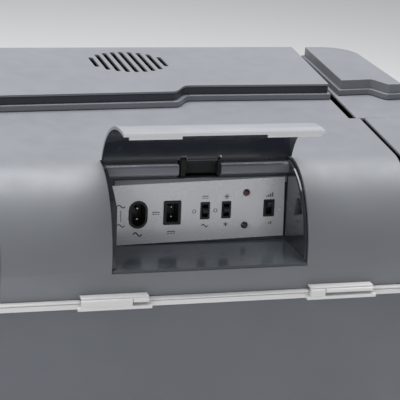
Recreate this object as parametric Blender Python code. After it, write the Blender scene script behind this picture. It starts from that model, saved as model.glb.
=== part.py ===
"""Electric cooler box with a thermoelectric unit in its lid and a power bay at the back of the lid.

Metres, +Z up. The hinged side, with the power bay, faces -Y; +X is to the right when that side is
looked at. The rear profile of the lid is a quarter ellipse, and the bay is set into it. Heights in
the bay are counted from the front edge of its floor, and depths from the lid's upright rear face.
"""

import math

import bmesh
import bpy
from mathutils import Matrix, Vector

# Driving dimensions
HALF_WIDTH = 0.268
HALF_DEPTH = 0.200
RIM_REACH = 0.0046
GAP = 0.0003
FOOT_HEIGHT = 0.006
BASE_TAPER = 0.025
CORNER = 0.060
CORNER_STEPS = 4

# Body: the shell, its foam and the liner whose flange is the lower layer of the pale rim
SHELL_WALL = 0.003
LINER_WALL = 0.002
BODY_RIM_LOW = 0.3287
BODY_RIM_TOP = 0.3328
TUB_HALF_WIDTH = 0.238
TUB_HALF_DEPTH = 0.168
TUB_CORNER = 0.035
TUB_TAPER = 0.018
TUB_FLOOR = 0.038
SEAL_STEP = 0.003
SEAL_WIDTH = 0.012

# Lid: covers over a liner whose flange is the upper layer of the pale rim
LID_RIM_LOW = 0.3332
LID_RIM_TOP = 0.3344
BAY_FLOOR = 0.356
PROFILE_DEPTH = 0.0563
PROFILE_HEIGHT = 0.0674
SIDE_PROFILE = 0.030
PROFILE_STEPS = 6
COVER_WALL = 0.003
LID_TOP = BAY_FLOOR + PROFILE_HEIGHT
FOAM_TOP = 0.3520
PLUG_LOW = 0.3220
PLUG_CLEARANCE = 0.003
UNIT_Y = 0.095
UNIT_WINDOW = (0.055, 0.045)

# Groove between the lid's centre cover and its end covers, in distance from the rear face
GROOVE_JOG = 0.155
GROOVE_REAR = 0.17285
GROOVE_REAR_SLOPE = 0.0875
GROOVE_FRONT = 0.163
GROOVE_FRONT_SLOPE = 0.082
GROOVE_WIDTH_REAR = 0.0045
GROOVE_WIDTH_FRONT = 0.007
TAB_DEPTH = 0.0016

# Deck on the lid's top: plinth, recessed air-outlet band and top cover
PLINTH_TOP = 0.4290
BAND_TOP = 0.4352
DECK_TOP = 0.4376
LEDGE = 0.0025
DECK_LEFT_EDGE = (0.1860, 0.1938)
DECK_JOG_X = (0.0190, 0.0365)
DECK_SET_BACK = 0.2120
DECK_FRONT = 0.350
END_DECK_X = (0.1790, 0.2080, 0.2205, 0.2370)
END_DECK_Y = (0.2240, 0.2265, 0.2085, 0.2100)
END_DECK_CORNER = 0.032

# Power bay
BAY_HALF_WIDTH = 0.0766
BAY_BACK = 0.0516
BAY_BACK_OUTER = 0.0640
BAY_TOP = 0.0640
BAY_MOUTH = 0.0750
BAY_BACK_LOW = (-0.0648, 0.0743)
BAY_BACK_HIGH = (-0.0735, 0.0736)
ARM_SLOT_X = (-0.0155, 0.0186)
PANEL_TILT = math.radians(5.5)
PANEL_Y = 0.0500
PANEL_THICKNESS = 0.0013
PANEL_CORNERS = ((-0.0634, 0.0004), (0.0731, 0.0035), (0.0722, 0.0512), (-0.0693, 0.0477))

# Flap over the bay; it turns about the top of the rear profile
FLAP_OPEN = math.radians(78)
FLAP_AXIS = (PROFILE_DEPTH, 0.0670)
FLAP_HALF_WIDTH = 0.0760
FLAP_WALL = 0.0024
FLAP_ARC = (math.radians(8), math.radians(88))
LIP_DEPTH = 0.0050
LIP_ENDS = (-0.0715, 0.0740)
LIP_NOTCH = (-0.0323, 0.0321)
TONGUE_X = (-0.0090, 0.0155)
TONGUE_RADIUS = 0.0026
FLAP_PIN_RADIUS = 0.0010

# Panel fittings: centres in the panel's own width and height
AC_CENTRE = (-0.0457, 0.02425)
AC_SIZE = (0.0146, 0.0217)
AC_PIN_SPACING = 0.0086
DC_CENTRE = (-0.0186, 0.02505)
DC_SIZE = (0.0136, 0.0188)
DC_PIN_SPACING = 0.0078
SWITCHES = {
    "power": ((0.0078, 0.0258), 0.0072, 0.0),
    "mode": ((0.0251, 0.0260), 0.0072, 0.0),
    "level": ((0.0602, 0.0264), 0.0086, 0.0026),
}
SWITCH_HEIGHT = 0.0134
SLOT_SIZE = (0.0046, 0.0100)
KNOB_SIZE = (0.0040, 0.0044)
INDICATORS = {"red": (0.0411, 0.0393), "dark": (0.0405, 0.0131)}
INDICATOR_RADIUS = 0.0026

# Lid hinges
HINGE_Y = -0.2068
HINGE_Z = 0.3352
KNUCKLE_RADIUS = 0.0018
HINGE_PIN_RADIUS = 0.0009
HINGE_BORE_RADIUS = 0.0012
HINGE_BASE_LOW = 0.3288
HINGE_BASE_HALF = 0.0281
HINGE_BLOCK_HALF = 0.0256
HINGE_SPLIT = 0.0122
HINGES = {"left": (-0.0749, 1), "right": (0.1040, -1)}
SIDE_CLEARANCE = 0.0003

# Carry handle
HANDLE_Z = 0.315
HANDLE_ARM = 0.220
HANDLE_BAR_RADIUS = 0.011
HANDLE_DROP = math.radians(12)
HANDLE_ARM_INNER = HALF_WIDTH + RIM_REACH + 0.0020
HANDLE_ARM_THICKNESS = 0.0085
PIVOT_RADIUS = 0.006
BOSS_RADIUS = 0.0125
EAR_RADIUS = 0.013

# Thermoelectric unit, from the bottom up
FIN_COUNT = 9
COLD_GRILLE = (0.0560, 0.0460, 0.2995, 0.3216)
COLD_SINK = (0.0500, 0.0400, 0.3260, 0.3400, 0.3440)
SPACER = (0.0200, 0.3443, 0.3520)
MODULE = (0.0200, 0.3523, 0.3560)
HOT_SINK = (0.0550, 0.0450, 0.3563, 0.3613, 0.3850)
HOT_FAN = (0.0400, 0.3860, 0.4060)
FAN_BORE = 0.0380
ROTOR_RADIUS = 0.0360
ROTORS = {"hot_fan_rotor": (0.3888, 0.4052), "cold_fan_rotor": (0.3025, 0.3140)}
HUB_RADIUS = 0.0150
BLADES = 7
SLOT_COUNT = 9
SLOT_SPACING = 0.008
SLOT_HALF = 0.002
DUCT_COUNT = 5
DUCT_SPACING = 0.018

# The object's box is centred on the origin: it runs from the open flap's tip to the handle's grip
TIP_Y = PROFILE_DEPTH * (1 - math.cos(FLAP_ARC[0])) - FLAP_AXIS[0]
TIP_Z = PROFILE_HEIGHT * math.sin(FLAP_ARC[0]) - FLAP_AXIS[1]
TIP_OPEN_Y = TIP_Y * math.cos(FLAP_OPEN) + TIP_Z * math.sin(FLAP_OPEN)
REAR_REACH = HALF_DEPTH - FLAP_AXIS[0] - TIP_OPEN_Y
FRONT_REACH = HANDLE_ARM * math.cos(HANDLE_DROP) + HANDLE_BAR_RADIUS
SHIFT_Y = (REAR_REACH - FRONT_REACH) / 2

COLOURS = {
    "shell_grey": ((0.235, 0.250, 0.285), 0.45, 0.0),
    "lid_grey": ((0.300, 0.315, 0.345), 0.42, 0.0),
    "plinth_grey": ((0.235, 0.248, 0.275), 0.45, 0.0),
    "bay_black": ((0.018, 0.022, 0.030), 0.15, 0.0),
    "rim_white": ((0.62, 0.61, 0.61), 0.45, 0.0),
    "liner_white": ((0.75, 0.75, 0.74), 0.40, 0.0),
    "foam_cream": ((0.80, 0.74, 0.55), 0.95, 0.0),
    "panel_silver": ((0.52, 0.53, 0.55), 0.35, 0.7),
    "black_plastic": ((0.012, 0.012, 0.014), 0.35, 0.0),
    "knob_grey": ((0.030, 0.031, 0.034), 0.40, 0.0),
    "pin_metal": ((0.62, 0.60, 0.55), 0.25, 1.0),
    "red_lens": ((0.20, 0.012, 0.015), 0.15, 0.0),
    "dark_lens": ((0.030, 0.006, 0.008), 0.15, 0.0),
    "gasket_rubber": ((0.05, 0.05, 0.055), 0.80, 0.0),
    "foot_rubber": ((0.03, 0.03, 0.03), 0.85, 0.0),
    "circuit_green": ((0.02, 0.14, 0.05), 0.40, 0.0),
    "aluminium": ((0.70, 0.71, 0.73), 0.30, 1.0),
    "module_ceramic": ((0.85, 0.85, 0.82), 0.50, 0.0),
    "supply_steel": ((0.55, 0.56, 0.58), 0.35, 1.0),
}


# Frames: each moving body has an empty on its joint's axis


def add_empty(name, parent, location, turn_x=0.0):
    empty = bpy.data.objects.new(name, None)
    bpy.context.scene.collection.objects.link(empty)
    empty.parent = parent
    empty.location = location
    empty.rotation_euler.x = turn_x
    return empty


def material(name):
    found = bpy.data.materials.get(name)
    if found:
        return found
    colour, roughness, metallic = COLOURS[name]
    made = bpy.data.materials.new(name)
    made.use_nodes = True
    shader = made.node_tree.nodes["Principled BSDF"]
    shader.inputs["Base Color"].default_value = (*colour, 1.0)
    shader.inputs["Roughness"].default_value = roughness
    shader.inputs["Metallic"].default_value = metallic
    return made


def add(name, solid, finish, parent, origin=(0, 0, 0), location=(0, 0, 0)):
    """An object from a bmesh drawn in the design frame; origin is where its parent's frame begins."""
    bmesh.ops.translate(solid, vec=-Vector(origin), verts=solid.verts)
    mesh = bpy.data.meshes.new(name)
    solid.to_mesh(mesh)
    solid.free()
    mesh.shade_smooth()
    mesh.set_sharp_from_angle(angle=math.radians(35))
    made = bpy.data.objects.new(name, mesh)
    bpy.context.scene.collection.objects.link(made)
    made.parent = parent
    made.location = location
    if finish:
        made.data.materials.append(material(finish))
    return made


def shape_with(target, solid, operation, origin=(0, 0, 0)):
    """A Boolean on target with a hidden tool that stands in target's own frame."""
    name = f"{target.name}_tool_{len(target.modifiers)}"
    tool = add(name, solid, None, target.parent, origin, target.location)
    tool.hide_render = True
    tool.display_type = "WIRE"
    modifier = target.modifiers.new(operation.lower(), "BOOLEAN")
    modifier.operation = operation
    modifier.solver = "EXACT"
    modifier.object = tool


# Solids


def loft(rings):
    """One closed solid through rings of equal length, capped at both ends."""
    solid = bmesh.new()
    rows = [[solid.verts.new(point) for point in ring] for ring in rings]
    for lower, upper in zip(rows, rows[1:]):
        for index, vertex in enumerate(lower):
            after = (index + 1) % len(lower)
            solid.faces.new((vertex, lower[after], upper[after], upper[index]))
    solid.faces.new(rows[0][::-1])
    solid.faces.new(rows[-1])
    bmesh.ops.recalc_face_normals(solid, faces=solid.faces)
    return solid


def extrude_x(outline, low, high):
    return loft([[(x, y, z) for y, z in outline] for x in (low, high)])


def extrude_y(outline, low, high):
    return loft([[(x, y, z) for x, z in outline] for y in (low, high)])


def extrude_z(outline, low, high):
    return loft([[(x, y, z) for x, y in outline] for z in (low, high)])


def block(low, high):
    corners = ((low[0], low[1]), (high[0], low[1]), (high[0], high[1]), (low[0], high[1]))
    return extrude_z(corners, low[2], high[2])


def arc(centre, radius, start, end, steps):
    angles = [math.radians(start + (end - start) * step / steps) for step in range(steps + 1)]
    return [(centre[0] + radius * math.cos(a), centre[1] + radius * math.sin(a)) for a in angles]


def circle(centre, radius, steps=16):
    return arc(centre, radius, 0, 360 * (steps - 1) / steps, steps - 1)


def rounded_box(low, high, radius, steps=CORNER_STEPS):
    """Outline of a rectangle with round corners, anticlockwise from its lower right corner."""
    right, left = high[0] - radius, low[0] + radius
    bottom, top = low[1] + radius, high[1] - radius
    corners = ((right, bottom, -90), (right, top, 0), (left, top, 90), (left, bottom, 180))
    return [p for x, y, start in corners for p in arc((x, y), radius, start, start + 90, steps)]


def rectangle_ring(half_x, half_y, radius, z):
    return [(x, y, z) for x, y in rounded_box((-half_x, -half_y), (half_x, half_y), radius)]


def ring_in_panel(outline, depth):
    return [(x, depth, z) for x, z in outline]


def centred(centre, size):
    return (
        (centre[0] - size[0] / 2, centre[1] - size[1] / 2),
        (centre[0] + size[0] / 2, centre[1] + size[1] / 2),
    )


def cut_box(target, low, high, origin=(0, 0, 0)):
    shape_with(target, block(low, high), "DIFFERENCE", origin)


def join_box(target, low, high, origin=(0, 0, 0)):
    shape_with(target, block(low, high), "UNION", origin)


# Body: each tub's outline runs up its outside from the base, then down its inside to the floor


def build_outer_shell(body):
    base_x, base_y = HALF_WIDTH - BASE_TAPER, HALF_DEPTH - BASE_TAPER
    top = BODY_RIM_LOW - GAP
    inner = SHELL_WALL
    outside = [
        rectangle_ring(base_x - 0.006, base_y - 0.006, CORNER - 0.016, FOOT_HEIGHT + GAP),
        rectangle_ring(base_x, base_y, CORNER - 0.010, FOOT_HEIGHT + 0.006),
        rectangle_ring(HALF_WIDTH, HALF_DEPTH, CORNER, top - 0.028),
        rectangle_ring(HALF_WIDTH, HALF_DEPTH, CORNER, top),
    ]
    inside = [
        rectangle_ring(HALF_WIDTH - inner, HALF_DEPTH - inner, CORNER - inner, top),
        rectangle_ring(HALF_WIDTH - inner, HALF_DEPTH - inner, CORNER - inner, top - 0.028),
        rectangle_ring(base_x - inner, base_y - inner, CORNER - 0.010 - inner, FOOT_HEIGHT + 0.007),
        rectangle_ring(base_x - 0.008, base_y - 0.008, CORNER - 0.018, FOOT_HEIGHT + inner),
    ]
    add("outer_shell", loft(outside + inside), "shell_grey", body)


def build_foam(body):
    skin = SHELL_WALL + 0.0006
    base_x, base_y = HALF_WIDTH - BASE_TAPER - skin, HALF_DEPTH - BASE_TAPER - skin
    top_x, top_y = HALF_WIDTH - skin, HALF_DEPTH - skin
    hollow = LINER_WALL + 0.0006
    top = BODY_RIM_LOW - 0.0006
    outside = [
        rectangle_ring(base_x - 0.006, base_y - 0.006, CORNER - 0.018, FOOT_HEIGHT + 0.0042),
        rectangle_ring(base_x, base_y, CORNER - 0.013, FOOT_HEIGHT + 0.010),
        rectangle_ring(top_x, top_y, CORNER - skin, top - 0.028),
        rectangle_ring(top_x, top_y, CORNER - skin, top),
    ]
    inside = [
        rectangle_ring(TUB_HALF_WIDTH + hollow, TUB_HALF_DEPTH + hollow, TUB_CORNER, top),
        rectangle_ring(
            TUB_HALF_WIDTH - TUB_TAPER + hollow,
            TUB_HALF_DEPTH - TUB_TAPER + hollow,
            TUB_CORNER,
            TUB_FLOOR - hollow,
        ),
    ]
    add("body_foam", loft(outside + inside), "foam_cream", body)


def build_inner_liner(body):
    wall_x, wall_y = TUB_HALF_WIDTH + LINER_WALL, TUB_HALF_DEPTH + LINER_WALL
    rim_x, rim_y = HALF_WIDTH + RIM_REACH, HALF_DEPTH + RIM_REACH
    seat_x, seat_y = TUB_HALF_WIDTH + SEAL_WIDTH, TUB_HALF_DEPTH + SEAL_WIDTH
    base_x, base_y = TUB_HALF_WIDTH - TUB_TAPER, TUB_HALF_DEPTH - TUB_TAPER
    outside = [
        rectangle_ring(base_x + LINER_WALL, base_y + LINER_WALL, TUB_CORNER, TUB_FLOOR - LINER_WALL),
        rectangle_ring(wall_x, wall_y, TUB_CORNER, BODY_RIM_LOW),
        rectangle_ring(rim_x, rim_y, CORNER + RIM_REACH, BODY_RIM_LOW),
        rectangle_ring(rim_x, rim_y, CORNER + RIM_REACH, BODY_RIM_TOP),
    ]
    inside = [
        rectangle_ring(seat_x, seat_y, TUB_CORNER + SEAL_WIDTH, BODY_RIM_TOP),
        rectangle_ring(seat_x, seat_y, TUB_CORNER + SEAL_WIDTH, BODY_RIM_TOP - SEAL_STEP),
        rectangle_ring(TUB_HALF_WIDTH, TUB_HALF_DEPTH, TUB_CORNER, BODY_RIM_TOP - SEAL_STEP),
        rectangle_ring(base_x, base_y, TUB_CORNER, TUB_FLOOR),
    ]
    add("inner_liner", loft(outside + inside), "liner_white", body)


def build_feet(body):
    reach_x, reach_y = HALF_WIDTH - 0.075, HALF_DEPTH - 0.075
    for side, x in (("left", -reach_x), ("right", reach_x)):
        for end, y in (("rear", -reach_y), ("front", reach_y)):
            rings = [
                [(px, py, z) for px, py in circle((x, y), radius)]
                for radius, z in ((0.014, 0.0), (0.016, 0.0015), (0.016, FOOT_HEIGHT))
            ]
            add(f"foot_{end}_{side}", loft(rings), "foot_rubber", body)


# Lid hinges: a body leaf and a lid leaf share one pin, and their blocks mirror each other


def knuckle(low, high, radius):
    return extrude_x(circle((HINGE_Y, HINGE_Z), radius), low, high)


def hinge_spans(side):
    """The long and the short knuckle's stretch of X, with running clearance between them."""
    centre, direction = HINGES[side]
    split = centre + direction * (HINGE_BLOCK_HALF - HINGE_SPLIT)
    outer_long = centre - direction * HINGE_BLOCK_HALF
    outer_short = centre + direction * HINGE_BLOCK_HALF
    long_span = sorted((outer_long, split - direction * SIDE_CLEARANCE))
    short_span = sorted((outer_short, split + direction * SIDE_CLEARANCE))
    return long_span, short_span


def build_hinge_bases(body):
    face = HINGE_Y - KNUCKLE_RADIUS
    rim_face = -HALF_DEPTH - RIM_REACH - GAP
    for side, (centre, _) in HINGES.items():
        long_span, short_span = hinge_spans(side)
        low, high = long_span if side == "left" else short_span
        base = block(
            (centre - HINGE_BASE_HALF, face - GAP, HINGE_BASE_LOW),
            (centre + HINGE_BASE_HALF, rim_face, BODY_RIM_TOP - 0.0016),
        )
        leaf = add(f"hinge_base_{side}", base, "rim_white", body)
        join_box(leaf, (low, face, BODY_RIM_TOP - 0.0030), (high, rim_face - 0.0002, HINGE_Z))
        shape_with(leaf, knuckle(low, high, KNUCKLE_RADIUS), "UNION")
        shape_with(leaf, knuckle(low - 0.01, high + 0.01, HINGE_BORE_RADIUS), "DIFFERENCE")
        reach = HINGE_BLOCK_HALF - 0.001
        pin = knuckle(centre - reach, centre + reach, HINGE_PIN_RADIUS)
        add(f"hinge_pin_{side}", pin, "pin_metal", body)


def build_lid_hinges(lid, origin):
    rear_face = -HALF_DEPTH - GAP
    plate_low = HINGE_Z + KNUCKLE_RADIUS + 0.00025
    for side, (centre, _) in HINGES.items():
        long_span, short_span = hinge_spans(side)
        low, high = short_span if side == "left" else long_span
        plate = block(
            (centre - HINGE_BLOCK_HALF, HINGE_Y - 0.0005, plate_low),
            (centre + HINGE_BLOCK_HALF, rear_face, plate_low + 0.0009),
        )
        leaf = add(f"lid_hinge_{side}", plate, "rim_white", lid, origin)
        join_box(leaf, (low, HINGE_Y, LID_RIM_TOP + GAP), (high, rear_face, plate_low + 0.0004), origin)
        shape_with(leaf, knuckle(low, high, KNUCKLE_RADIUS), "UNION", origin)
        shape_with(leaf, knuckle(low - 0.01, high + 0.01, HINGE_BORE_RADIUS), "DIFFERENCE", origin)


# Carry handle: two flat arms on pivots at the box's ends, and a round grip between their tips


def arm_outline():
    """An arm seen from its side: round about its pivot, and round about the grip at its tip."""
    dropped = math.degrees(HANDLE_DROP)
    tip = arc((HANDLE_ARM, 0.0), HANDLE_BAR_RADIUS, dropped - 90, dropped + 90, 2 * CORNER_STEPS)
    heel = arc((0.0, 0.0), EAR_RADIUS, 90, 270, 2 * CORNER_STEPS)
    return tip + heel


def build_handle(handle):
    for name, side in (("left", -1), ("right", 1)):
        ends = sorted((side * HANDLE_ARM_INNER, side * (HANDLE_ARM_INNER + HANDLE_ARM_THICKNESS)))
        arm = add(f"handle_arm_{name}", extrude_x(arm_outline(), *ends), "shell_grey", handle)
        reach = (ends[0] - 0.01, ends[1] + 0.01)
        bore = extrude_x(circle((0, 0), PIVOT_RADIUS + GAP), *reach)
        shape_with(arm, bore, "DIFFERENCE")
    half = HANDLE_ARM_INNER - GAP
    grip = extrude_x(circle((HANDLE_ARM, 0.0), HANDLE_BAR_RADIUS - GAP), -half, half)
    add("handle_grip", grip, "shell_grey", handle)


def build_handle_pivots(body):
    inner = HANDLE_ARM_INNER - GAP
    outer = HANDLE_ARM_INNER + HANDLE_ARM_THICKNESS + GAP
    for side, direction in (("left", -1), ("right", 1)):
        steps = (
            (HALF_WIDTH + GAP, BOSS_RADIUS),
            (inner, BOSS_RADIUS),
            (inner, PIVOT_RADIUS),
            (outer, PIVOT_RADIUS),
            (outer, 0.009),
            (outer + 0.0020, 0.009),
        )
        rings = [
            [(direction * x, y, z) for y, z in circle((0.0, HANDLE_Z), radius)]
            for x, radius in steps
        ]
        add(f"handle_pivot_{side}", loft(rings), "shell_grey", body)


# Lid covers


def rear(distance):
    return -HALF_DEPTH + distance


def lid_ring(turn, wall):
    """The lid's outline at an angle of its rear profile, for the outer face or for the inner one."""
    rise, drop = math.sin(turn), 1 - math.cos(turn)
    inset_x = wall + (SIDE_PROFILE - wall) * drop
    inset_y = wall + (PROFILE_DEPTH - wall) * drop
    height = BAY_FLOOR + (PROFILE_HEIGHT - wall) * rise
    radius = CORNER - wall - (SIDE_PROFILE - wall) * drop
    return rectangle_ring(HALF_WIDTH - inset_x, HALF_DEPTH - inset_y, radius, height)


def lid_shell():
    turns = [math.pi / 2 * step / PROFILE_STEPS for step in range(PROFILE_STEPS + 1)]
    low = LID_RIM_TOP + GAP
    outside = [lid_ring(turn, 0.0) for turn in reversed(turns)]
    outside.append([(x, y, low) for x, y, _ in outside[-1]])
    inside = [lid_ring(turn, COVER_WALL) for turn in turns]
    inside.insert(0, [(x, y, low) for x, y, _ in inside[0]])
    return loft(outside + inside)


def groove_rear(distance):
    return GROOVE_REAR - GROOVE_REAR_SLOPE * (GROOVE_JOG - distance)


def groove_front(distance):
    return GROOVE_FRONT + GROOVE_FRONT_SLOPE * (distance - GROOVE_JOG)


def centre_plan():
    """The centre cover's half outline: its edge steps inwards at the groove's jog."""
    start, end = -0.010, 0.410
    right = [
        (groove_rear(start), rear(start)),
        (GROOVE_REAR, rear(GROOVE_JOG)),
        (GROOVE_FRONT, rear(GROOVE_JOG)),
        (groove_front(end), rear(end)),
    ]
    return right + [(-x, y) for x, y in reversed(right)]


def end_plan(side):
    """An end cover's outline, with the small tab that closes the groove at its jog."""
    start, end = -0.010, 0.410
    tab = GROOVE_JOG + 0.0004
    points = [
        (groove_rear(start) + GROOVE_WIDTH_REAR, rear(start)),
        (GROOVE_REAR + GROOVE_WIDTH_REAR, rear(tab + TAB_DEPTH)),
        (GROOVE_REAR + 0.0004, rear(tab + TAB_DEPTH)),
        (GROOVE_REAR + 0.0004, rear(tab)),
        (GROOVE_FRONT + GROOVE_WIDTH_FRONT, rear(tab)),
        (groove_front(end) + GROOVE_WIDTH_FRONT, rear(end)),
        (HALF_WIDTH + 0.05, rear(end)),
        (HALF_WIDTH + 0.05, rear(start)),
    ]
    return [(side * x, y) for x, y in points]


def s_curve(start, end, steps=5):
    """Points of a smooth step between two edge points."""
    points = []
    for step in range(steps + 1):
        share = step / steps
        ease = share * share * (3 - 2 * share)
        points.append((start[0] + (end[0] - start[0]) * share, start[1] + (end[1] - start[1]) * ease))
    return points


def deck_plan(inset):
    """The centre deck's outline, drawn in from its edges by inset."""
    left_near, left_far = DECK_LEFT_EDGE
    edge = 0.0008 + inset
    front = DECK_FRONT - inset
    jog = s_curve((DECK_JOG_X[0] - inset, left_far + inset), (DECK_JOG_X[1] - inset, DECK_SET_BACK + inset))
    points = [
        (-groove_front(left_near) + edge, left_near + inset),
        *jog,
        (groove_front(DECK_SET_BACK) - edge, DECK_SET_BACK + inset),
        (groove_front(front) - edge, front),
        (-groove_front(front) + edge, front),
    ]
    return [(x, rear(y)) for x, y in points]


def end_deck_plan(side, inset):
    """The raised part of an end cover: its near edge steps back beside the groove."""
    shifted = [x + inset for x in END_DECK_X]
    near = [y + inset for y in END_DECK_Y]
    front = DECK_FRONT - inset
    outer = END_DECK_X[3] - inset
    radius = END_DECK_CORNER - inset
    points = [
        (shifted[0], near[0]),
        *s_curve((shifted[1], near[1]), (shifted[2], near[2])),
        (outer, near[3]),
        *arc((outer - radius, front - radius), radius, 0, 90, CORNER_STEPS),
        (groove_front(front) + GROOVE_WIDTH_FRONT + 0.001 + inset, front),
    ]
    return [(side * x, rear(y)) for x, y in points]


def grille_slots():
    """Each slot's place along X and half length: together they fill the fan's circle."""
    for index in range(SLOT_COUNT):
        x = (index - (SLOT_COUNT - 1) / 2) * SLOT_SPACING
        yield x, math.sqrt(ROTOR_RADIUS**2 - x**2)


def build_lid_covers(lid, origin):
    low, high = LID_RIM_TOP - 0.01, LID_TOP + 0.01
    cover = add("lid_cover", lid_shell(), "lid_grey", lid, origin)
    shape_with(cover, extrude_z(centre_plan(), low, high), "INTERSECT", origin)
    cut_box(
        cover,
        (-BAY_HALF_WIDTH, rear(-0.01), BAY_FLOOR - 0.0023),
        (BAY_HALF_WIDTH, rear(0.0590), LID_TOP + 0.01),
        origin,
    )
    slot_low = (ARM_SLOT_X[0] - 0.0005, rear(0.0500), BAY_FLOOR + 0.06)
    slot_high = (ARM_SLOT_X[1] + 0.0005, rear(0.0612), LID_TOP + 0.01)
    cut_box(cover, slot_low, slot_high, origin)
    cut_box(
        cover,
        (-HOT_FAN[0] - 0.004, UNIT_Y - HOT_FAN[0] - 0.004, LID_TOP - 0.01),
        (HOT_FAN[0] + 0.004, UNIT_Y + HOT_FAN[0] + 0.004, LID_TOP + 0.01),
        origin,
    )
    for name, side in (("left", -1), ("right", 1)):
        end = add(f"lid_end_cover_{name}", lid_shell(), "lid_grey", lid, origin)
        shape_with(end, extrude_z(end_plan(side), low, high), "INTERSECT", origin)
        foot = LID_TOP + GAP
        step = extrude_z(end_deck_plan(side, 0.0), foot, PLINTH_TOP)
        deck = add(f"end_deck_{name}", step, "lid_grey", lid, origin)
        shape_with(deck, extrude_z(end_deck_plan(side, LEDGE), foot + 0.001, DECK_TOP), "UNION", origin)


def build_deck(lid, origin):
    window = HOT_FAN[0] + 0.004
    hole_low = (-window, UNIT_Y - window, LID_TOP - 0.01)
    hole_high = (window, UNIT_Y + window, DECK_TOP + 0.01)
    step = extrude_z(deck_plan(0.0), LID_TOP + GAP, PLINTH_TOP)
    plinth = add("deck_plinth", step, "plinth_grey", lid, origin)
    cut_box(plinth, hole_low, hole_high, origin)

    layer = extrude_z(deck_plan(LEDGE), PLINTH_TOP + GAP, BAND_TOP)
    band = add("vent_band", layer, "bay_black", lid, origin)
    cut_box(band, hole_low, hole_high, origin)
    duct_low, duct_high = PLINTH_TOP + 0.002, BAND_TOP + 0.01
    for side in (-1, 1):
        near, far = sorted((side * 0.030, side * 0.200))
        for index in range(DUCT_COUNT):
            y = UNIT_Y + (index - (DUCT_COUNT - 1) / 2) * DUCT_SPACING
            cut_box(band, (near, y - 0.003, duct_low), (far, y + 0.003, duct_high), origin)

    top = extrude_z(deck_plan(LEDGE - GAP), BAND_TOP + GAP, DECK_TOP)
    cover = add("unit_cover", top, "lid_grey", lid, origin)
    for x, half in grille_slots():
        low = (x - SLOT_HALF, UNIT_Y - half, BAND_TOP)
        cut_box(cover, low, (x + SLOT_HALF, UNIT_Y + half, DECK_TOP + 0.01), origin)


# Lid liner, seal and foam


def build_lid_inside(lid, origin):
    plug_x = TUB_HALF_WIDTH - PLUG_CLEARANCE
    plug_y = TUB_HALF_DEPTH - PLUG_CLEARANCE
    rim_x, rim_y = HALF_WIDTH + RIM_REACH, HALF_DEPTH + RIM_REACH
    outside = [
        rectangle_ring(plug_x - 0.006, plug_y - 0.006, TUB_CORNER - 0.006, PLUG_LOW),
        rectangle_ring(plug_x, plug_y, TUB_CORNER - 0.003, PLUG_LOW + 0.006),
        rectangle_ring(plug_x, plug_y, TUB_CORNER - 0.003, LID_RIM_LOW),
        rectangle_ring(rim_x, rim_y, CORNER + RIM_REACH, LID_RIM_LOW),
        rectangle_ring(rim_x, rim_y, CORNER + RIM_REACH, LID_RIM_TOP),
    ]
    inside = [
        rectangle_ring(plug_x - LINER_WALL, plug_y - LINER_WALL, TUB_CORNER - 0.005, LID_RIM_TOP),
        rectangle_ring(plug_x - 0.008, plug_y - 0.008, TUB_CORNER - 0.008, PLUG_LOW + LINER_WALL),
    ]
    liner = add("lid_liner", loft(outside + inside), "liner_white", lid, origin)
    window_x, window_y = UNIT_WINDOW
    cut_box(liner, (-window_x, UNIT_Y - window_y, 0.30), (window_x, UNIT_Y + window_y, 0.35), origin)

    inner_x, inner_y = TUB_HALF_WIDTH + 0.001, TUB_HALF_DEPTH + 0.001
    outer_x, outer_y = TUB_HALF_WIDTH + SEAL_WIDTH - 0.001, TUB_HALF_DEPTH + SEAL_WIDTH - 0.001
    low, high = BODY_RIM_TOP - SEAL_STEP + GAP, LID_RIM_LOW - GAP
    outer_corner = TUB_CORNER + SEAL_WIDTH - 0.001
    strip = loft([rectangle_ring(outer_x, outer_y, outer_corner, z) for z in (low, high)])
    gasket = add("lid_gasket", strip, "gasket_rubber", lid, origin)
    hole = loft([rectangle_ring(inner_x, inner_y, TUB_CORNER, z) for z in (low - 0.01, high + 0.01)])
    shape_with(gasket, hole, "DIFFERENCE", origin)

    foam_x, foam_y = HALF_WIDTH - COVER_WALL - 0.001, HALF_DEPTH - COVER_WALL - 0.001
    foam_heights = (LID_RIM_TOP + 0.0006, FOAM_TOP)
    foam_rings = [rectangle_ring(foam_x, foam_y, CORNER - 0.006, z) for z in foam_heights]
    foam = add("lid_foam", loft(foam_rings), "foam_cream", lid, origin)
    cut_box(foam, (-window_x, UNIT_Y - window_y, 0.30), (window_x, UNIT_Y + window_y, 0.40), origin)


# Power bay


def profile(inset, start, end, steps):
    """Points (distance, height) of the rear profile, set in from its outer face."""
    points = []
    for step in range(steps + 1):
        turn = start + (end - start) * step / steps
        distance = inset + (PROFILE_DEPTH - inset) * (1 - math.cos(turn))
        points.append((distance, (PROFILE_HEIGHT - inset) * math.sin(turn)))
    return points


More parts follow.
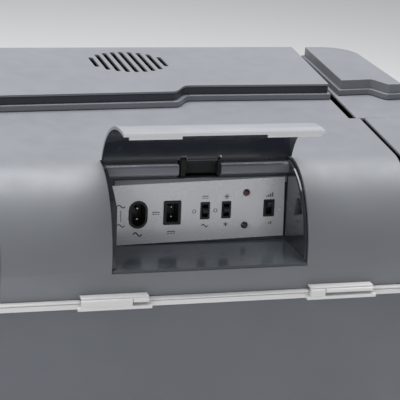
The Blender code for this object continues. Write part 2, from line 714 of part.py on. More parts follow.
def build_bay_liner(lid, origin):
    seat = 0.003
    outline = [(0.0004, -0.0020), (0.0004, 0.0), *profile(seat, 0.0, math.radians(78), 6)]
    outline += [(PANEL_Y, BAY_TOP), (BAY_BACK_OUTER, BAY_TOP), (BAY_BACK_OUTER, -0.0020)]
    outer = BAY_HALF_WIDTH - GAP
    section = [(rear(y), BAY_FLOOR + z) for y, z in outline]
    liner = add("bay_liner", extrude_x(section, -outer, outer), "bay_black", lid, origin)

    top = PROFILE_HEIGHT + 0.002
    far_top = BAY_BACK + top * math.tan(PANEL_TILT)
    mouth = [
        (-BAY_MOUTH, rear(-0.005), BAY_FLOOR),
        (BAY_MOUTH, rear(-0.005), BAY_FLOOR),
        (BAY_MOUTH, rear(-0.005), BAY_FLOOR + top),
        (-BAY_MOUTH, rear(-0.005), BAY_FLOOR + top),
    ]
    back = [
        (BAY_BACK_LOW[0], rear(BAY_BACK), BAY_FLOOR),
        (BAY_BACK_LOW[1], rear(BAY_BACK), BAY_FLOOR),
        (BAY_BACK_HIGH[1], rear(far_top), BAY_FLOOR + top),
        (BAY_BACK_HIGH[0], rear(far_top), BAY_FLOOR + top),
    ]
    shape_with(liner, loft([mouth, back]), "DIFFERENCE", origin)
    window = (-0.0590, rear(0.045), BAY_FLOOR + 0.0055), (0.0670, rear(0.08), BAY_FLOOR + 0.0440)
    cut_box(liner, *window, origin)
    slot_low = (ARM_SLOT_X[0], rear(0.045), BAY_FLOOR + 0.0520)
    slot_high = (ARM_SLOT_X[1], rear(0.08), BAY_FLOOR + 0.08)
    cut_box(liner, slot_low, slot_high, origin)


def bracket_section():
    """The flap bracket's ear, round at the top about the flap's axis."""
    y, z = FLAP_AXIS
    top = arc((y, z), TONGUE_RADIUS, 0, 180, 6)
    foot = [(y - TONGUE_RADIUS, 0.0540), (0.0625, 0.0540), (0.0625, 0.0635)]
    return [(y + TONGUE_RADIUS, 0.0635), *top, *foot]


def build_flap_bracket(lid, origin):
    section = [(rear(y), BAY_FLOOR + z) for y, z in bracket_section()]
    left_ear = (TONGUE_X[0] - 0.0044, TONGUE_X[0] - 0.0006)
    right_ear = (TONGUE_X[1] + 0.0006, TONGUE_X[1] + 0.0026)
    bracket = add("flap_bracket", extrude_x(section, *left_ear), "black_plastic", lid, origin)
    shape_with(bracket, extrude_x(section, *right_ear), "UNION", origin)
    low = (left_ear[0] + 0.0002, rear(0.0601), BAY_FLOOR + 0.0542)
    high = (right_ear[1] - 0.0002, rear(0.0623), BAY_FLOOR + 0.0630)
    join_box(bracket, low, high, origin)
    axis = (rear(FLAP_AXIS[0]), BAY_FLOOR + FLAP_AXIS[1])
    bore = extrude_x(circle(axis, FLAP_PIN_RADIUS + 0.0002, 12), left_ear[0] - 0.01, right_ear[1] + 0.01)
    shape_with(bracket, bore, "DIFFERENCE", origin)
    pin = extrude_x(circle(axis, FLAP_PIN_RADIUS, 12), left_ear[0] + 0.0003, right_ear[1] - 0.0003)
    add("flap_pin", pin, "pin_metal", lid, origin)


def build_flap(flap):
    """Drawn closed, in distances and heights from the flap's axis; its empty holds it open."""
    start, end = FLAP_ARC
    section = profile(0.0, start, end, 8) + profile(FLAP_WALL, end, start, 8)
    section = [(y - FLAP_AXIS[0], z - FLAP_AXIS[1]) for y, z in section]
    made = add("flap", extrude_x(section, -FLAP_HALF_WIDTH, FLAP_HALF_WIDTH), "shell_grey", flap)
    low_y, low_z = section[0]
    lip_low, lip_high = low_z + 0.0002, low_z + 0.0028
    for low_x, high_x in ((LIP_ENDS[0], LIP_NOTCH[0]), (LIP_NOTCH[1], LIP_ENDS[1])):
        join_box(made, (low_x, low_y + 0.0012, lip_low), (high_x, low_y + LIP_DEPTH, lip_high))
    arm = ((-0.0085, -0.0018), (0.0, -0.0018), (0.0, 0.0012), (-0.0085, -0.0004))
    shape_with(made, extrude_x(arm, *TONGUE_X), "UNION")
    shape_with(made, extrude_x(circle((0, 0), TONGUE_RADIUS - 0.0002), *TONGUE_X), "UNION")
    ear_notches = (
        (TONGUE_X[0] - 0.0054, TONGUE_X[0] - 0.0004),
        (TONGUE_X[1] + 0.0004, TONGUE_X[1] + 0.0034),
    )
    for low, high in ear_notches:
        cut_box(made, (low, -0.0042, -0.01), (high, 0.01, 0.01))
    reach = (TONGUE_X[0] - 0.01, TONGUE_X[1] + 0.01)
    shape_with(made, extrude_x(circle((0, 0), FLAP_PIN_RADIUS + 0.0002, 12), *reach), "DIFFERENCE")


# Panel and its fittings, drawn in the panel's own frame: width, depth behind its face, height


def stadium(centre, size):
    return rounded_box(*centred(centre, size), size[0] / 2 - 0.0001, 4)


def build_panel(panel):
    plate = add("panel_plate", extrude_y(PANEL_CORNERS, 0.0, PANEL_THICKNESS), "panel_silver", panel)
    through = (-0.01, 0.01)
    margin = 0.0006
    ac_hole = stadium(AC_CENTRE, (AC_SIZE[0] + margin, AC_SIZE[1] + margin))
    shape_with(plate, extrude_y(ac_hole, *through), "DIFFERENCE")
    dc_hole = rounded_box(*centred(DC_CENTRE, (DC_SIZE[0] + margin, DC_SIZE[1] + margin)), 0.001, 2)
    shape_with(plate, extrude_y(dc_hole, *through), "DIFFERENCE")
    for centre, width, _ in SWITCHES.values():
        hole = rounded_box(*centred(centre, (width + margin, SWITCH_HEIGHT + margin)), 0.0006, 2)
        shape_with(plate, extrude_y(hole, *through), "DIFFERENCE")
    for centre in INDICATORS.values():
        hole = circle(centre, INDICATOR_RADIUS + GAP)
        shape_with(plate, extrude_y(hole, *through), "DIFFERENCE")


def build_inlets(panel):
    ac = add("ac_inlet", extrude_y(stadium(AC_CENTRE, AC_SIZE), -0.0006, 0.0150), "black_plastic", panel)
    cavity = stadium(AC_CENTRE, (AC_SIZE[0] - 0.0040, AC_SIZE[1] - 0.0040))
    shape_with(ac, extrude_y(cavity, -0.01, 0.0125), "DIFFERENCE")
    dc_outline = rounded_box(*centred(DC_CENTRE, DC_SIZE), 0.0008, 2)
    dc = add("dc_inlet", extrude_y(dc_outline, -0.0006, 0.0140), "black_plastic", panel)
    dc_cavity = rounded_box(*centred(DC_CENTRE, (DC_SIZE[0] - 0.0044, DC_SIZE[1] - 0.0044)), 0.0006, 2)
    shape_with(dc, extrude_y(dc_cavity, -0.01, 0.0115), "DIFFERENCE")
    for kind, centre, spacing, radius, tip, root in (
        ("ac", AC_CENTRE, AC_PIN_SPACING, 0.0012, 0.0030, 0.0122),
        ("dc", DC_CENTRE, DC_PIN_SPACING, 0.0010, 0.0028, 0.0112),
    ):
        for name, offset in (("upper", spacing / 2), ("lower", -spacing / 2)):
            spot = (centre[0], centre[1] + offset)
            rings = [
                ring_in_panel(circle(spot, radius * 0.6, 12), tip),
                ring_in_panel(circle(spot, radius, 12), tip + 0.0006),
                ring_in_panel(circle(spot, radius, 12), root),
            ]
            add(f"{kind}_pin_{name}", loft(rings), "pin_metal", panel)


def build_switches(panel):
    for name, (centre, width, rest) in SWITCHES.items():
        outline = rounded_box(*centred(centre, (width, SWITCH_HEIGHT)), 0.0005, 2)
        housing = add(f"{name}_switch", extrude_y(outline, -0.0004, 0.0095), "black_plastic", panel)
        slot = centred(centre, SLOT_SIZE)
        cut_box(housing, (slot[0][0], -0.01, slot[0][1]), (slot[1][0], 0.0060, slot[1][1]))
        half_x, half_z = KNOB_SIZE[0] / 2, KNOB_SIZE[1] / 2
        foot = rounded_box((-half_x, -half_z), (half_x, half_z), 0.0004, 1)
        tip_x, tip_z = half_x - 0.0005, half_z - 0.0012
        tip = rounded_box((-tip_x, -tip_z), (tip_x, tip_z), 0.0003, 1)
        rings = [ring_in_panel(foot, 0.0055), ring_in_panel(foot, -0.0010), ring_in_panel(tip, -0.0024)]
        place = (centre[0], 0.0, centre[1] + rest)
        add(f"{name}_slider", loft(rings), "knob_grey", panel, location=place)


def build_indicators(panel):
    for name, centre in INDICATORS.items():
        rings = [
            ring_in_panel(circle(centre, INDICATOR_RADIUS * share), depth)
            for share, depth in ((0.55, -0.0022), (0.85, -0.0016), (1.0, -0.0004), (1.0, 0.0060))
        ]
        add(f"{name}_indicator", loft(rings), f"{name}_lens", panel)


def build_electronics(panel, lid, origin):
    board = block((-0.0580, 0.0172, 0.0060), (0.0660, 0.0188, 0.0440))
    add("control_board", board, "circuit_green", panel)
    supply = block((-0.1500, rear(0.105), FOAM_TOP + GAP), (-0.0700, rear(0.225), 0.3900))
    add("power_supply", supply, "supply_steel", lid, origin)


# Thermoelectric unit


def add_fins(sink, half_x, half_y, low, high, origin):
    for index in range(FIN_COUNT):
        x = -half_x + 0.0010 + index * (2 * half_x - 0.0020) / (FIN_COUNT - 1)
        join_box(sink, (x - 0.0009, UNIT_Y - half_y, low), (x + 0.0009, UNIT_Y + half_y, high), origin)


def build_heat_path(lid, origin):
    half_x, half_y, fin_low, base_low, base_top = COLD_SINK
    reach = half_y + 0.0005
    base = block((-half_x, UNIT_Y - reach, base_low), (half_x, UNIT_Y + reach, base_top))
    sink = add("cold_heatsink", base, "aluminium", lid, origin)
    add_fins(sink, half_x, half_y, fin_low, base_low + 0.001, origin)

    for name, (half, low, high), finish in (
        ("cold_spacer", SPACER, "aluminium"),
        ("thermoelectric_module", MODULE, "module_ceramic"),
    ):
        add(name, block((-half, UNIT_Y - half, low), (half, UNIT_Y + half, high)), finish, lid, origin)

    half_x, half_y, base_low, base_top, fin_top = HOT_SINK
    reach = half_y + 0.0005
    base = block((-half_x, UNIT_Y - reach, base_low), (half_x, UNIT_Y + reach, base_top))
    sink = add("hot_heatsink", base, "aluminium", lid, origin)
    add_fins(sink, half_x, half_y, base_top - 0.001, fin_top, origin)


def rotor_solid(low, high):
    """Hub and straight blades as one outline, turned about the fan's axis."""
    blade = ((0, HUB_RADIUS), (0, ROTOR_RADIUS), (14, ROTOR_RADIUS), (24, ROTOR_RADIUS), (28, HUB_RADIUS))
    outline = []
    for index in range(BLADES):
        for turn, radius in blade:
            angle = math.radians(360 / BLADES * index + turn)
            outline.append((radius * math.cos(angle), radius * math.sin(angle)))
    return extrude_z(outline, low, high)


def build_fans(lid, origin):
    half, low, high = HOT_FAN
    centre = Vector((0, UNIT_Y, 0))
    outline = rounded_box((-half, UNIT_Y - half), (half, UNIT_Y + half), 0.004, 2)
    frame = add("hot_fan_frame", extrude_z(outline, low, high), "black_plastic", lid, origin)
    bore = extrude_z(circle((0, UNIT_Y), FAN_BORE, 32), low - 0.01, high + 0.01)
    shape_with(frame, bore, "DIFFERENCE", origin)
    for turn in (45, 135):
        angle = math.radians(turn)
        along = Vector((math.cos(angle), math.sin(angle), 0)) * (FAN_BORE + 0.0015)
        across = Vector((-along.y, along.x, 0)).normalized() * 0.002
        corners = (-along - across, along - across, along + across, -along + across)
        strut = [((centre + corner).x, (centre + corner).y) for corner in corners]
        shape_with(frame, extrude_z(strut, low, low + 0.002), "UNION", origin)
    shape_with(frame, extrude_z(circle((0, UNIT_Y), HUB_RADIUS), low, low + 0.002), "UNION", origin)

    half_x, half_y, low, high = COLD_GRILLE
    wall = 0.002
    outline = rounded_box((-half_x, UNIT_Y - half_y), (half_x, UNIT_Y + half_y), 0.008, 3)
    inner_low = (-half_x + wall, UNIT_Y - half_y + wall)
    inner_high = (half_x - wall, UNIT_Y + half_y - wall)
    inner = rounded_box(inner_low, inner_high, 0.006, 3)
    grille = add("cold_grille", extrude_z(outline, low, high), "liner_white", lid, origin)
    shape_with(grille, extrude_z(inner, low + wall, high + 0.01), "DIFFERENCE", origin)
    for index in range(SLOT_COUNT):
        x = (index - (SLOT_COUNT - 1) / 2) * SLOT_SPACING
        slot_low = (x - 0.0022, UNIT_Y - 0.032, low - 0.01)
        cut_box(grille, slot_low, (x + 0.0022, UNIT_Y + 0.032, low + 0.01), origin)

    for name, (rotor_low, rotor_high) in ROTORS.items():
        place = Vector((0, UNIT_Y, (rotor_low + rotor_high) / 2)) - Vector(origin)
        half = (rotor_high - rotor_low) / 2
        add(name, rotor_solid(-half, half), "black_plastic", lid, location=place)


def clear_scene():
    for existing in list(bpy.data.objects):
        bpy.data.objects.remove(existing, do_unlink=True)


def main():
    clear_scene()
    cooler = add_empty("cooler_origin", None, (0, SHIFT_Y, 0))
    lid_axis = Vector((0, HINGE_Y, HINGE_Z))
    lid = add_empty("lid_axis", cooler, lid_axis)
    flap_axis = Vector((0, rear(FLAP_AXIS[0]), BAY_FLOOR + FLAP_AXIS[1]))
    flap = add_empty("flap_axis", lid, flap_axis - lid_axis, -FLAP_OPEN)
    panel = add_empty("panel_frame", lid, Vector((0, rear(PANEL_Y), BAY_FLOOR)) - lid_axis, -PANEL_TILT)
    handle = add_empty("handle_axis", cooler, (0, 0, HANDLE_Z), -HANDLE_DROP)

    build_outer_shell(cooler)
    build_foam(cooler)
    build_inner_liner(cooler)
    build_feet(cooler)
    build_hinge_bases(cooler)
    build_handle_pivots(cooler)
    build_handle(handle)

    build_lid_covers(lid, lid_axis)
    build_deck(lid, lid_axis)
    build_lid_inside(lid, lid_axis)
    build_lid_hinges(lid, lid_axis)
    build_heat_path(lid, lid_axis)
    build_fans(lid, lid_axis)
    build_bay_liner(lid, lid_axis)
    build_flap_bracket(lid, lid_axis)
    build_flap(flap)

    build_panel(panel)
    build_inlets(panel)
    build_switches(panel)
    build_indicators(panel)
    build_electronics(panel, lid, lid_axis)


main()
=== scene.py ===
import math

import bmesh
import bpy
from mathutils import Matrix, Vector


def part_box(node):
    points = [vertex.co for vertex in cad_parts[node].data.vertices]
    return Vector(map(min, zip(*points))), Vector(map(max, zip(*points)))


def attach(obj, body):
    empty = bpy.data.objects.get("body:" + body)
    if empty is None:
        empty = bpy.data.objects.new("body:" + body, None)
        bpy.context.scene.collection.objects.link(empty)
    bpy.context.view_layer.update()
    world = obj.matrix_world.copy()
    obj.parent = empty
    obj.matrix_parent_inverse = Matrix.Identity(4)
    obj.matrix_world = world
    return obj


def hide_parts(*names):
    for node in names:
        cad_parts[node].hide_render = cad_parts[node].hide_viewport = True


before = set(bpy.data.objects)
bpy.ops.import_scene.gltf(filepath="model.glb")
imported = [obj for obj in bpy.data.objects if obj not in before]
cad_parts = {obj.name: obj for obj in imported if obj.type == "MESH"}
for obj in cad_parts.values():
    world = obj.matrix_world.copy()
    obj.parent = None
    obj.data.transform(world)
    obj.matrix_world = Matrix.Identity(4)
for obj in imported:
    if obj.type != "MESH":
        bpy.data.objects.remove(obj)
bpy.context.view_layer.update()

# Lengths in metres in the CAD's own frame, in which Y is not yet shifted to centre the box
HALF_WIDTH = 0.268
HALF_DEPTH = 0.200
RIM_REACH = 0.0046
GAP = 0.0003
FOOT_HEIGHT = 0.006
BASE_TAPER = 0.025
CORNER = 0.060
SHELL_WALL = 0.003
LINER_WALL = 0.002
BODY_RIM_LOW = 0.3287
BODY_RIM_TOP = 0.3328
TUB_HALF_WIDTH = 0.238
TUB_HALF_DEPTH = 0.168
TUB_CORNER = 0.035
TUB_TAPER = 0.018
TUB_FLOOR = 0.038
SEAL_STEP = 0.003
SEAL_WIDTH = 0.012
LID_RIM_LOW = 0.3332
LID_RIM_TOP = 0.3344
BAY_FLOOR = 0.356
PROFILE_DEPTH = 0.0563
PROFILE_HEIGHT = 0.0674
SIDE_PROFILE = 0.030
COVER_WALL = 0.003
LID_TOP = BAY_FLOOR + PROFILE_HEIGHT
PLUG_LOW = 0.3220
PLUG_CLEARANCE = 0.003
UNIT_Y = 0.095
UNIT_WINDOW = (0.055, 0.045)

GROOVE_JOG = 0.155
GROOVE_REAR = 0.17285
GROOVE_REAR_SLOPE = 0.0875
GROOVE_FRONT = 0.163
GROOVE_FRONT_SLOPE = 0.082
GROOVE_WIDTH_REAR = 0.0045
GROOVE_WIDTH_FRONT = 0.007

PLINTH_TOP = 0.4290
BAND_TOP = 0.4352
DECK_TOP = 0.4376
LEDGE = 0.0025
DECK_LEFT_EDGE = (0.1860, 0.1938)
DECK_JOG_X = (0.0190, 0.0365)
DECK_SET_BACK = 0.2120
DECK_FRONT = 0.350
END_DECK_X = (0.1790, 0.2080, 0.2205, 0.2370)
END_DECK_Y = (0.2240, 0.2265, 0.2085, 0.2100)
END_DECK_CORNER = 0.032
FAN_WINDOW = 0.044
DUCT_COUNT = 5
DUCT_SPACING = 0.018
DUCT_HALF = 0.003
DUCT_REACH = (0.030, 0.200)
GRILLE_COUNT = 9
GRILLE_SPACING = 0.008
GRILLE_HALF = 0.002

BAY_HALF_WIDTH = 0.0766
BAY_BACK = 0.0516
BAY_BACK_OUTER = 0.0640
BAY_TOP = 0.0640
BAY_CUT_END = 0.0590
SLOT_CUT_END = 0.0612
SLOT_X = (-0.0155, 0.0186)
SLOT_MARGIN = 0.0005
MOUTH_X = 0.0750
BACK_LOW_X = (-0.0648, 0.0743)
BACK_HIGH_X = (-0.0735, 0.0736)
PANEL_TILT = math.radians(5.5)
PANEL_Y = 0.0500
RAIL = (0.0550, 0.0635)
BAND_LINE = (0.0470, 0.0519)
RIB_INSET = 0.0042
RIB_WIDTH = 0.0026
RIB_TURNS = (math.radians(18), math.radians(72))
TRIM_OVERLAP = 0.0015

FLAP_OPEN = math.radians(78)
FLAP_AXIS = (PROFILE_DEPTH, 0.0670)
FLAP_HALF_WIDTH = 0.0760
FLAP_WALL = 0.0024
SKIN_INSET = 0.00015
FLAP_ARC = (math.radians(8), math.radians(88))
LIP_DEPTH = 0.0050
LIP_ENDS = (-0.0715, 0.0740)
LIP_NOTCH = (-0.0323, 0.0321)
TONGUE_X = (-0.0090, 0.0155)
TONGUE_RADIUS = 0.0026
FLAP_PIN_RADIUS = 0.0010

AC_CENTRE = (-0.0457, 0.02425)
AC_SIZE = (0.0146, 0.0217)
DC_CENTRE = (-0.0186, 0.02505)
DC_SIZE = (0.0136, 0.0188)
PINS = {
    "ac": (AC_CENTRE, 0.0086, 0.0012, 0.0030, 0.0122),
    "dc": (DC_CENTRE, 0.0078, 0.0010, 0.0028, 0.0112),
}

HANDLE_Z = 0.315
HANDLE_ARM = 0.220
HANDLE_BAR_RADIUS = 0.011
HANDLE_DROP = math.radians(12)
HANDLE_ARM_INNER = HALF_WIDTH + RIM_REACH + 0.0020
HANDLE_ARM_THICKNESS = 0.0085
PIVOT_RADIUS = 0.006
BOSS_RADIUS = 0.0125
EAR_RADIUS = 0.013

FAN_CENTRE = (0.0, UNIT_Y)
ROTORS = {"hot": (0.3888, 0.4052), "cold": (0.3025, 0.3140)}
ROTOR_RADIUS = 0.0360
HUB_RADIUS = 0.0150
BLADES = 7

FOOT_INSET = 0.075
MARK_DEPTHS = (-0.00005, 0.00002)
PANEL_WINDOW = (-0.0590, 0.0670, 0.0055, 0.0440)
CUT_REACH = (0.045, 0.08)


def rear(distance):
    """The Y of a point this far in front of the lid's rear face."""
    return -HALF_DEPTH + distance


def rear_of(y):
    """How far in front of the lid's rear face a Y lies."""
    return y + HALF_DEPTH


# The row's frame: the CAD's origin is shifted along Y, and each moving part is drawn on its own axis
rim_low, rim_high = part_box("inner_liner")
SHIFT = Matrix.Translation((0, (rim_low.y + rim_high.y) / 2, 0))


def tilted(location, turn):
    return SHIFT @ Matrix.Translation(location) @ Matrix.Rotation(turn, 4, "X")


PANEL_FRAME = tilted((0, rear(PANEL_Y), BAY_FLOOR), -PANEL_TILT)
FLAP_FRAME = tilted((0, rear(FLAP_AXIS[0]), BAY_FLOOR + FLAP_AXIS[1]), -FLAP_OPEN)
HANDLE_FRAME = tilted((0, 0, HANDLE_Z), -HANDLE_DROP)


# Materials


def surface(
    name,
    colour,
    roughness,
    metallic=0.0,
    grain=(2200, 0.00004, (1, 1, 1)),
    mottle=(9, 0.05),
    sheen_spread=0.06,
    worn=0.0,
    coat=0.0,
    peel=0.0,
):
    """A procedural finish: fine grain, slow colour drift, uneven gloss and, if asked, paler edges."""
    made = bpy.data.materials.new(name)
    made.use_nodes = True
    tree = made.node_tree
    nodes, links = tree.nodes, tree.links
    shader = nodes["Principled BSDF"]
    shader.inputs["Metallic"].default_value = metallic
    shader.inputs["Coat Weight"].default_value = coat
    shader.inputs["Coat Roughness"].default_value = 0.08
    place = nodes.new("ShaderNodeTexCoord")

    def noise(scale, detail, stretch=(1, 1, 1)):
        mapping = nodes.new("ShaderNodeMapping")
        mapping.inputs["Scale"].default_value = stretch
        texture = nodes.new("ShaderNodeTexNoise")
        texture.inputs["Scale"].default_value = scale
        texture.inputs["Detail"].default_value = detail
        links.new(place.outputs["Object"], mapping.inputs["Vector"])
        links.new(mapping.outputs["Vector"], texture.inputs["Vector"])
        return texture.outputs["Fac"]

    def spread(value, low, high):
        mapped = nodes.new("ShaderNodeMapRange")
        mapped.inputs["From Min"].default_value = 0.3
        mapped.inputs["From Max"].default_value = 0.7
        mapped.inputs["To Min"].default_value = low
        mapped.inputs["To Max"].default_value = high
        links.new(value, mapped.inputs["Value"])
        return mapped.outputs["Result"]

    def blend(share, first, second):
        mix = nodes.new("ShaderNodeMix")
        mix.data_type = "RGBA"
        links.new(share, mix.inputs["Factor"])
        for socket, value in ((mix.inputs["A"], first), (mix.inputs["B"], second)):
            if hasattr(value, "is_linked"):
                links.new(value, socket)
            else:
                socket.default_value = (*value, 1.0)
        return mix.outputs["Result"]

    scale, depth, stretch = grain
    fine = noise(scale, 3, stretch)
    slow = noise(mottle[0], 4)
    dark = [channel * (1 - mottle[1]) for channel in colour]
    pale = [min(1.0, channel * (1 + mottle[1])) for channel in colour]
    tone = blend(spread(slow, 0.0, 1.0), dark, pale)
    fleck = blend(spread(fine, 0.0, 0.12), tone, [channel * 0.7 for channel in colour])
    if worn:
        edge = nodes.new("ShaderNodeNewGeometry")
        mask = nodes.new("ShaderNodeMapRange")
        mask.inputs["From Min"].default_value = 0.52
        mask.inputs["From Max"].default_value = 0.62
        mask.inputs["To Max"].default_value = worn
        links.new(edge.outputs["Pointiness"], mask.inputs["Value"])
        fleck = blend(mask.outputs["Result"], fleck, [min(1.0, c * 1.5 + 0.03) for c in colour])
    links.new(fleck, shader.inputs["Base Color"])
    gloss = noise(60, 3, stretch)
    links.new(
        spread(gloss, max(0.02, roughness - sheen_spread), roughness + sheen_spread),
        shader.inputs["Roughness"],
    )
    bump = nodes.new("ShaderNodeBump")
    bump.inputs["Distance"].default_value = depth
    bump.inputs["Strength"].default_value = 0.6
    links.new(fine, bump.inputs["Height"])
    last = bump
    if peel:
        wave = nodes.new("ShaderNodeBump")
        wave.inputs["Distance"].default_value = peel
        wave.inputs["Strength"].default_value = 0.5
        links.new(noise(110, 2), wave.inputs["Height"])
        links.new(bump.outputs["Normal"], wave.inputs["Normal"])
        last = wave
    links.new(last.outputs["Normal"], shader.inputs["Normal"])
    return made


EVEN = (1, 1, 1)
BRUSHED = (1, 60, 60)
SMOOTH_GRAIN = (900, 0.00001, EVEN)
LENS_GRAIN = (700, 0.00002, EVEN)
M = {
    "shell": surface("shell_plastic", (0.160, 0.170, 0.192), 0.42, worn=0.25, peel=0.00002),
    "lid": surface("lid_plastic", (0.205, 0.214, 0.232), 0.46, worn=0.25, peel=0.00002),
    "plinth": surface("plinth_plastic", (0.180, 0.190, 0.212), 0.38, worn=0.3),
    # The vent band is a dark plastic, and this colour is darker still than that plastic: painted shade of
    # its upright face.
    "band": surface("band_plastic", (0.030, 0.034, 0.043), 0.32, worn=0.2),
    "bay": surface(
        "bay_plastic", (0.030, 0.036, 0.046), 0.17, grain=SMOOTH_GRAIN, mottle=(14, 0.1),
        sheen_spread=0.03, coat=0.4, peel=0.000012,
    ),
    # The floor faces of the same dark liner get this lighter colour: painted light and reflection, where
    # the floor catches the top light and mirrors the panel.
    "bay_floor": surface(
        "bay_floor_plastic", (0.130, 0.150, 0.172), 0.17, grain=SMOOTH_GRAIN, mottle=(14, 0.1),
        coat=0.2,
    ),
    # The bracket is dark plastic made darker and more matte still, so its lit ear tops read as shade:
    # partly its own colour, partly painted shade.
    "bracket": surface("bracket_plastic", (0.006, 0.006, 0.007), 0.65),
    "flap": surface("flap_plastic", (0.300, 0.308, 0.325), 0.36, worn=0.3),
    # The flap's inside colour is partly a dark inner plastic and partly painted shade of its
    # downward-facing concave side.
    "flap_inside": surface(
        "flap_inside_plastic", (0.026, 0.032, 0.042), 0.22, grain=SMOOTH_GRAIN, mottle=(14, 0.1),
        coat=0.2,
    ),
    # The flap's lip is the flap's grey plastic; this near-white colour is a painted highlight on the lip
    # faces that catch the light.
    "flap_edge": surface("flap_edge_plastic", (0.72, 0.72, 0.73), 0.34, worn=0.1),
    "rail": surface("rail_plastic", (0.230, 0.245, 0.275), 0.22, mottle=(14, 0.08), coat=0.3),
    "rim": surface("rim_plastic", (0.88, 0.865, 0.86), 0.42, worn=0.1),
    "foam": surface(
        "foam_cells", (0.78, 0.70, 0.48), 0.9, grain=(420, 0.0006, EVEN), mottle=(30, 0.12)
    ),
    # The lid's foam is the same cream foam as the body's: this near-black colour is painted shade, for
    # the deep groove it shows through.
    "dark_foam": surface("painted_shade_foam_cells", (0.030, 0.031, 0.034), 0.9, grain=(420, 0.0004, EVEN)),
    "panel": surface(
        "panel_satin", (0.92, 0.92, 0.94), 0.26, metallic=0.30, grain=(1500, 0.000002, EVEN),
        mottle=(16, 0.03),
    ),
    "black": surface("black_plastic", (0.012, 0.0125, 0.014), 0.30, worn=0.2),
    "knob": surface("knob_plastic", (0.024, 0.025, 0.028), 0.38, worn=0.25),
    "pin": surface("pin_nickel", (0.72, 0.69, 0.62), 0.22, metallic=1.0, mottle=(300, 0.08)),
    "red_lens": surface("red_lens", (0.085, 0.008, 0.012), 0.10, coat=0.8, grain=LENS_GRAIN),
    "dark_lens": surface("dark_lens", (0.012, 0.004, 0.006), 0.10, coat=0.8, grain=LENS_GRAIN),
    "gasket": surface("gasket_rubber", (0.045, 0.046, 0.050), 0.78, mottle=(40, 0.15)),
    "foot": surface("foot_rubber", (0.028, 0.028, 0.029), 0.82, mottle=(60, 0.2)),
    "board": surface(
        "board_mask", (0.018, 0.120, 0.050), 0.36, grain=(500, 0.00004, (1, 4, 1)), mottle=(160, 0.35)
    ),
    "aluminium": surface(
        "sink_aluminium", (0.72, 0.73, 0.75), 0.30, metallic=1.0, grain=(40, 0.00003, BRUSHED)
    ),
    "module": surface("module_ceramic", (0.82, 0.82, 0.78), 0.5, mottle=(50, 0.05)),
    "supply": surface(
        "supply_steel", (0.56, 0.57, 0.59), 0.33, metallic=1.0, grain=(30, 0.00003, BRUSHED)
    ),
    "mark": surface("mark_ink", (0.014, 0.015, 0.018), 0.5, grain=(4000, 0.00001, EVEN)),
}


# Solids


def loft(rings):
    solid = bmesh.new()
    rows = [[solid.verts.new(point) for point in ring] for ring in rings]
    for lower, upper in zip(rows, rows[1:]):
        for index, vertex in enumerate(lower):
            after = (index + 1) % len(lower)
            solid.faces.new((vertex, lower[after], upper[after], upper[index]))
    solid.faces.new(rows[0][::-1])
    solid.faces.new(rows[-1])
    bmesh.ops.recalc_face_normals(solid, faces=solid.faces)
    return solid


def extrude_x(outline, low, high):
    return loft([[(x, y, z) for y, z in outline] for x in (low, high)])


def extrude_y(outline, low, high):
    return loft([[(x, y, z) for x, z in outline] for y in (low, high)])


def extrude_z(outline, low, high):
    return loft([[(x, y, z) for x, y in outline] for z in (low, high)])


def block(low, high):
    corners = ((low[0], low[1]), (high[0], low[1]), (high[0], high[1]), (low[0], high[1]))
    return extrude_z(corners, low[2], high[2])


def arc(centre, radius, start, end, steps):
    angles = [math.radians(start + (end - start) * step / steps) for step in range(steps + 1)]
    return [(centre[0] + radius * math.cos(a), centre[1] + radius * math.sin(a)) for a in angles]


def circle(centre, radius, steps=48):
    return arc(centre, radius, 0, 360 * (steps - 1) / steps, steps - 1)


def rounded_box(low, high, radius, steps=16):
    right, left = high[0] - radius, low[0] + radius
    bottom, top = low[1] + radius, high[1] - radius
    corners = ((right, bottom, -90), (right, top, 0), (left, top, 90), (left, bottom, 180))
    return [p for x, y, start in corners for p in arc((x, y), radius, start, start + 90, steps)]


def ring(half_x, half_y, radius, z, steps=16):
    return [(x, y, z) for x, y in rounded_box((-half_x, -half_y), (half_x, half_y), radius, steps)]


def centred(centre, size):
    return (
        (centre[0] - size[0] / 2, centre[1] - size[1] / 2),
        (centre[0] + size[0] / 2, centre[1] + size[1] / 2),
    )


def tidied(solid, weld=2e-6, flat=0.4):
    bmesh.ops.remove_doubles(solid, verts=solid.verts, dist=weld)
    bmesh.ops.dissolve_limit(
        solid, angle_limit=math.radians(flat), verts=solid.verts, edges=solid.edges
    )
    return solid


def combined(base, *steps):
    """base with each (operation, solid) applied in turn."""
    objects = []
    for index, solid in enumerate([base] + [solid for _, solid in steps]):
        mesh = bpy.data.meshes.new("work")
        solid.to_mesh(mesh)
        solid.free()
        made = bpy.data.objects.new(f"work_{index}", mesh)
        bpy.context.scene.collection.objects.link(made)
        objects.append(made)
    for (operation, _), tool in zip(steps, objects[1:]):
        modifier = objects[0].modifiers.new("work", "BOOLEAN")
        modifier.operation = operation
        modifier.solver = "EXACT"
        modifier.object = tool
    bpy.context.view_layer.update()
    result = bmesh.new()
    result.from_object(objects[0], bpy.context.evaluated_depsgraph_get())
    for made in objects:
        mesh = made.data
        bpy.data.objects.remove(made)
        bpy.data.meshes.remove(mesh)
    return tidied(result)


def gathered(base, *solids):
    """base with the faces of each solid added to it."""
    scratch = bpy.data.meshes.new("scratch")
    for solid in solids:
        solid.to_mesh(scratch)
        solid.free()
        base.from_mesh(scratch)
    bpy.data.meshes.remove(scratch)
    return base


def cad_copy(node):
    solid = bmesh.new()
    solid.from_mesh(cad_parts[node].data)
    return tidied(solid)


